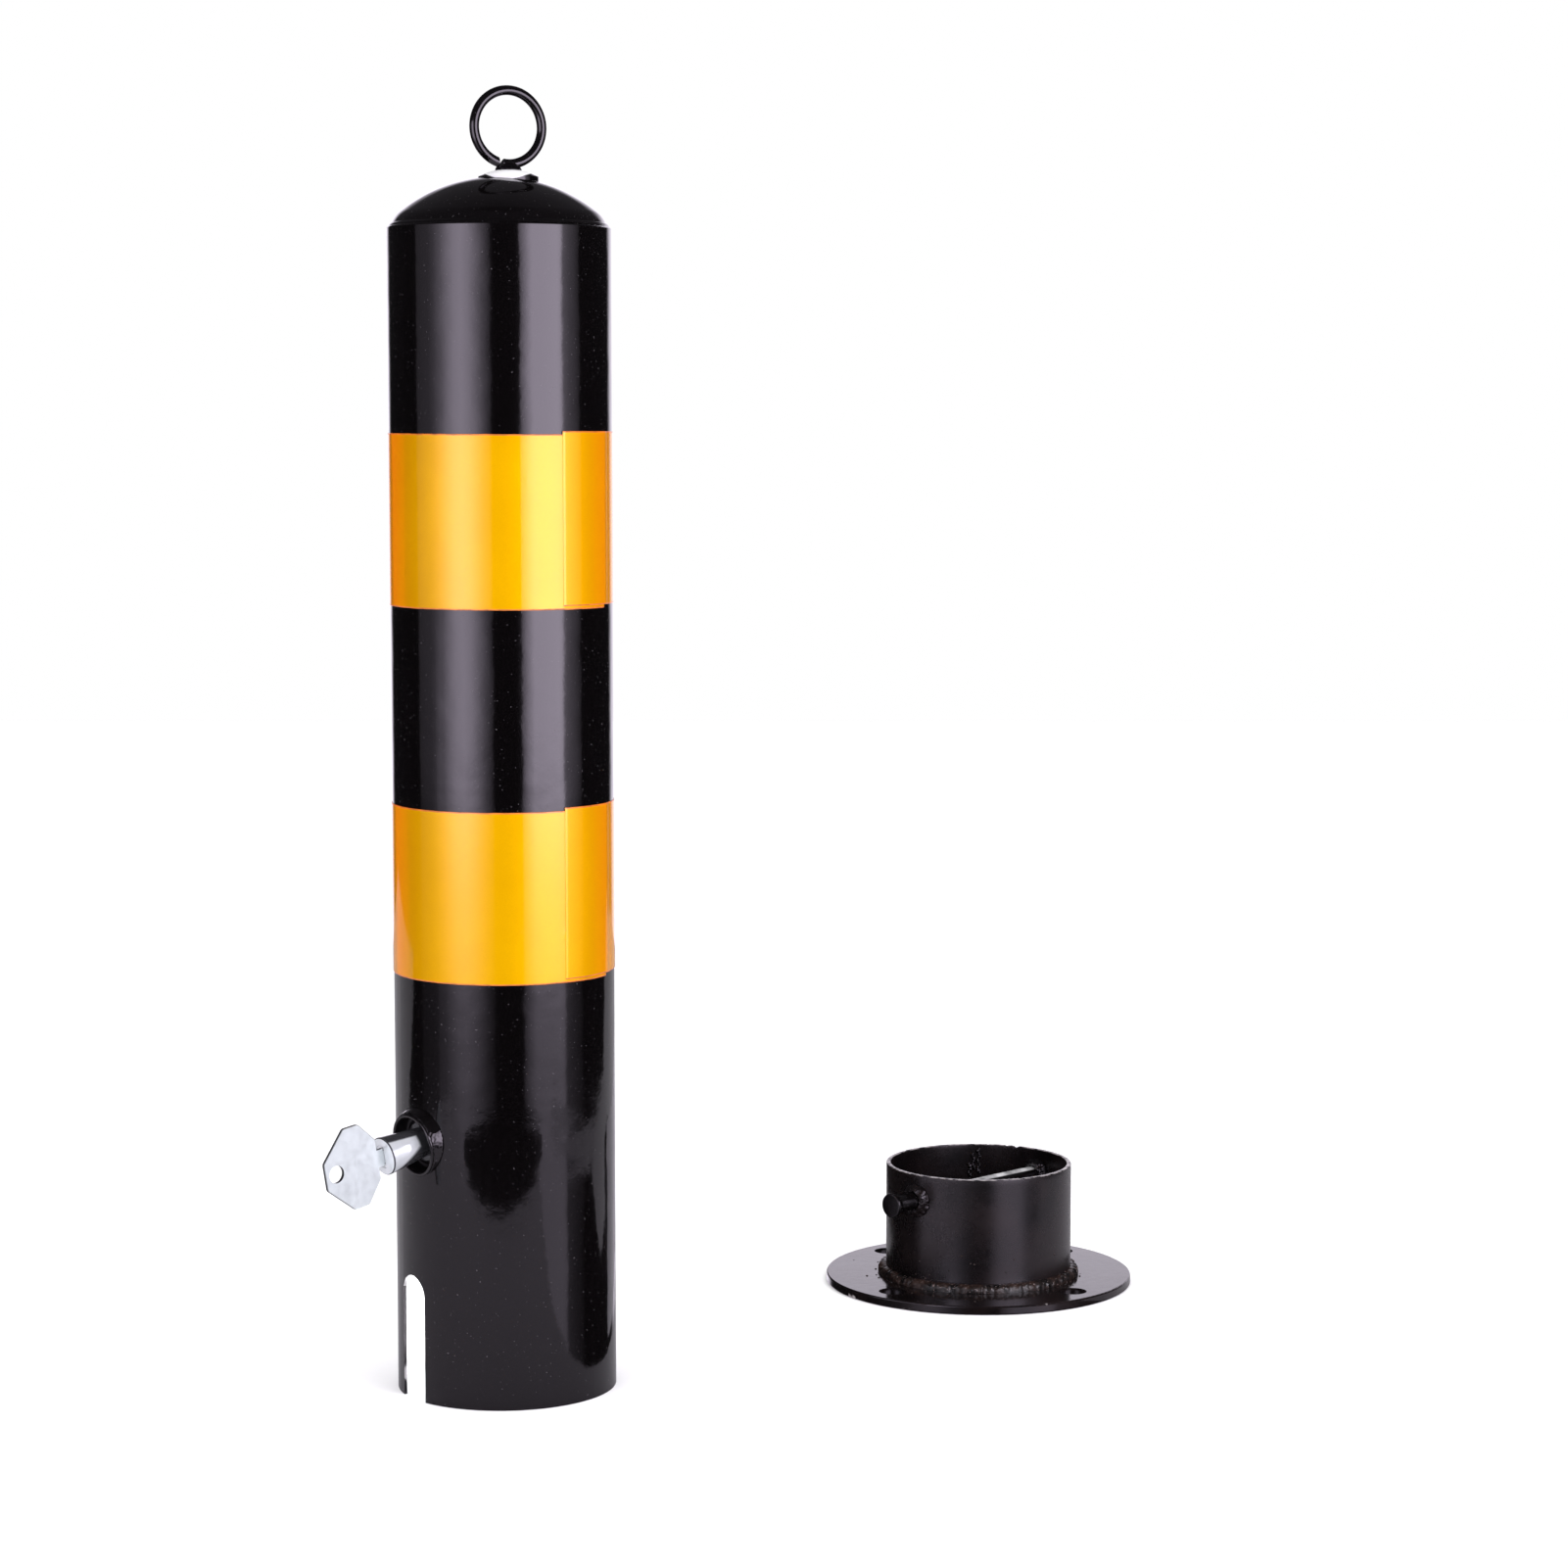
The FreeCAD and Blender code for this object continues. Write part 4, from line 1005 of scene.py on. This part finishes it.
def make_flags():
    """Cards that only the reflections show: a dark one low in front of the post, and one between the post
    and the base, grey towards the post and black towards the base. The grey one also glows faintly, as
    painted light."""
    black = paper("flag_paper", *BLACK_PAPER)
    grey = paper("glowing_card_paper", *GREY_PAPER)
    shader = grey.node_tree.nodes["Principled BSDF"]
    # The grey card glows faintly, as painted light
    set_plain(shader, Emission_Color=(*STUDIO_TINT, 1), Emission_Strength=CARD_GLOW)
    pear = []
    for i in range(FLAG_POINTS):
        t = 2 * math.pi * i / FLAG_POINTS
        side, rise = math.cos(t), math.sin(t)
        if rise > 0:
            side = math.copysign(abs(side) ** FLAG_POINTING, side)
            rise *= FLAG_STRETCH
        across, up = FLAG_PLACE[0] + FLAG_HALF[0] * side, FLAG_PLACE[1] + FLAG_HALF[1] * rise
        pear.append(POST_AXIS + Vector((across, -FLAG_DISTANCE, up)))
    sheet("front_flag", pear, black)
    foot = 2 * TABLE_LIFT
    for name, x, front, paint in (("grey_card", CARD_PLACE - CARD_GAP / 2, GREY_FRONT, grey),
                                  ("black_card", CARD_PLACE + CARD_GAP / 2, BLACK_FRONT, black)):
        corners = [(x, front, foot), (x, CARD_BACK, foot), (x, CARD_BACK, CARD_TOP), (x, front, CARD_TOP)]
        sheet(name, corners, paint)


def strip_light(name, width, height, brightness, colour):
    light = bpy.data.lights.new(name, "AREA")
    light.shape = "RECTANGLE"
    light.size, light.size_y = width, height
    light.energy = math.pi * brightness * width * height
    light.color = colour
    return light


def hang(name, light, azimuth, up):
    """Lamp object at an azimuth round the post, turned towards it."""
    turn = math.radians(azimuth)
    way = Vector((math.sin(turn), -math.cos(turn), 0))
    lamp = bpy.data.objects.new(name, light)
    lamp.location = POST_AXIS + way * BOX_DISTANCE
    lamp.location.z = up
    lamp.rotation_mode = "QUATERNION"
    lamp.rotation_quaternion = (-way).to_track_quat("-Z", "Y")
    lamp.visible_camera = False
    bpy.context.scene.collection.objects.link(lamp)
    return lamp


def foot_light():
    """Small light on the floor inside the post, which brightens the wall behind the slot."""
    light = bpy.data.lights.new("foot_light", "AREA")
    light.shape = "DISK"
    light.size = 2 * FOOT_LIGHT_RADIUS
    light.energy = math.pi * FOOT_LIGHT_WHITE * math.pi * FOOT_LIGHT_RADIUS ** 2
    light.specular_factor = 0.0
    lamp = bpy.data.objects.new("foot_light", light)
    lamp.location = POST_AXIS + Vector((0, 0, FOOT_LIGHT_LIFT))
    lamp.rotation_euler = (math.pi, 0, 0)
    lamp.visible_camera = False
    bpy.context.scene.collection.objects.link(lamp)


def softbox(name, azimuth, half_angle, brightness, across):
    """Upright area light round the post. Azimuths turn from the front to the right; across
    gives its brightness as (azimuth, share) stops."""
    turn = math.radians(azimuth)
    half = math.tan(math.radians(half_angle))
    light = strip_light(name, 2 * BOX_DISTANCE * half, BOX_TOP - BOX_BOTTOM, brightness, STUDIO_TINT)
    light.use_nodes = True
    tree = light.node_tree
    geometry = tree.nodes.new("ShaderNodeNewGeometry")
    side, rise, _ = split(tree, geometry.outputs["Parametric"])
    stops = [(0.5 + math.tan(math.radians(a) - turn) / (2 * half), share) for a, share in across]
    glow = times(tree, ramp(tree, side, stops), ramp(tree, rise, UPRIGHT_FADE))
    tree.links.new(glow, tree.nodes["Emission"].inputs["Strength"])
    hang(name, light, azimuth, (BOX_TOP + BOX_BOTTOM) / 2)


def side_lamp(name, azimuth, pieces):
    """Warm strip beside and behind the post, which lights the bands only."""
    light = strip_light(name, LAMP_WIDTH, LAMP_HEIGHT, LAMP_BRIGHTNESS, LAMP_COLOUR)
    lamp = hang(name, light, azimuth, POST_TOP / 2)
    lit = bpy.data.collections.new(name + "_lit")
    for piece in pieces:
        lit.objects.link(piece)
    lamp.light_linking.receiver_collection = lit


def overhead():
    """Wide soft light from above that whitens the floor and leaves no highlight."""
    light = bpy.data.lights.new("overhead", "SUN")
    light.energy = OVERHEAD_BRIGHTNESS
    light.angle = math.radians(OVERHEAD_WIDTH)
    light.specular_factor = 0.0
    sky = bpy.data.objects.new("overhead", light)
    sky.visible_glossy = False
    bpy.context.scene.collection.objects.link(sky)


def make_world():
    """White to the camera. What the surfaces see is a white backdrop behind the object
    and a dark room with a faint ceiling."""
    world = bpy.data.worlds.new("studio")
    bpy.context.scene.world = world
    world.use_nodes = True
    tree = world.node_tree
    background = tree.nodes["Background"]
    _, back, up = split(tree, tree.nodes.new("ShaderNodeTexCoord").outputs["Generated"])
    level = sums(tree, "SQRT", sums(tree, "SUBTRACT", 1.0, times(tree, up, up)))
    behind = step(tree, sums(tree, "DIVIDE", back, level), 0.86, 0.95)
    low = step(tree, up, 0.44, 0.16)
    glow = times(tree, behind, low, BACKDROP_WHITE)
    ceiling = times(tree, ramp(tree, up, CEILING_FADE), CEILING_GLOW)
    glow = sums(tree, "ADD", glow, sums(tree, "ADD", ceiling, ROOM_GLOW))
    rays = tree.nodes.new("ShaderNodeLightPath")
    seen = tree.nodes.new("ShaderNodeMix")
    tree.links.new(rays.outputs["Is Camera Ray"], seen.inputs[0])
    tree.links.new(glow, seen.inputs[2])
    seen.inputs[3].default_value = 1.0
    tint = blend(tree, rays.outputs["Is Camera Ray"], STUDIO_TINT, (1.0, 1.0, 1.0))
    tree.links.new(tint, background.inputs["Color"])
    tree.links.new(seen.outputs[0], background.inputs["Strength"])


make_camera()
dress_frame()
bands = [wound_band("lower_band", 3, True), wound_band("upper_band", 8, False)]
make_ring()
make_base_weld()
make_spatter()
make_sleeve()
make_sleeve_drips()
make_collar()
lumpy("stub_weld", base_black, 0.00035, 0.0007, 380.0)
lumpy("bar_end_weld", bar_black, 0.00035, 0.0008, 380.0)
lumpy("ring_weld", ring_black, 0.0003, 0.0005, 320.0)
lumpy("collar_weld", post_black, 0.0004, 0.00015, 300.0)

make_floor()
make_flags()
foot_light()
softbox("left_box", -47.0, 42.0, 5.0, LEFT_FADE)
softbox("right_box", 58.0, 34.0, 6.4, RIGHT_FADE)
side_lamp("left_lamp", -LAMP_AZIMUTH, bands)
side_lamp("right_lamp", LAMP_AZIMUTH, bands)
overhead()
make_world()
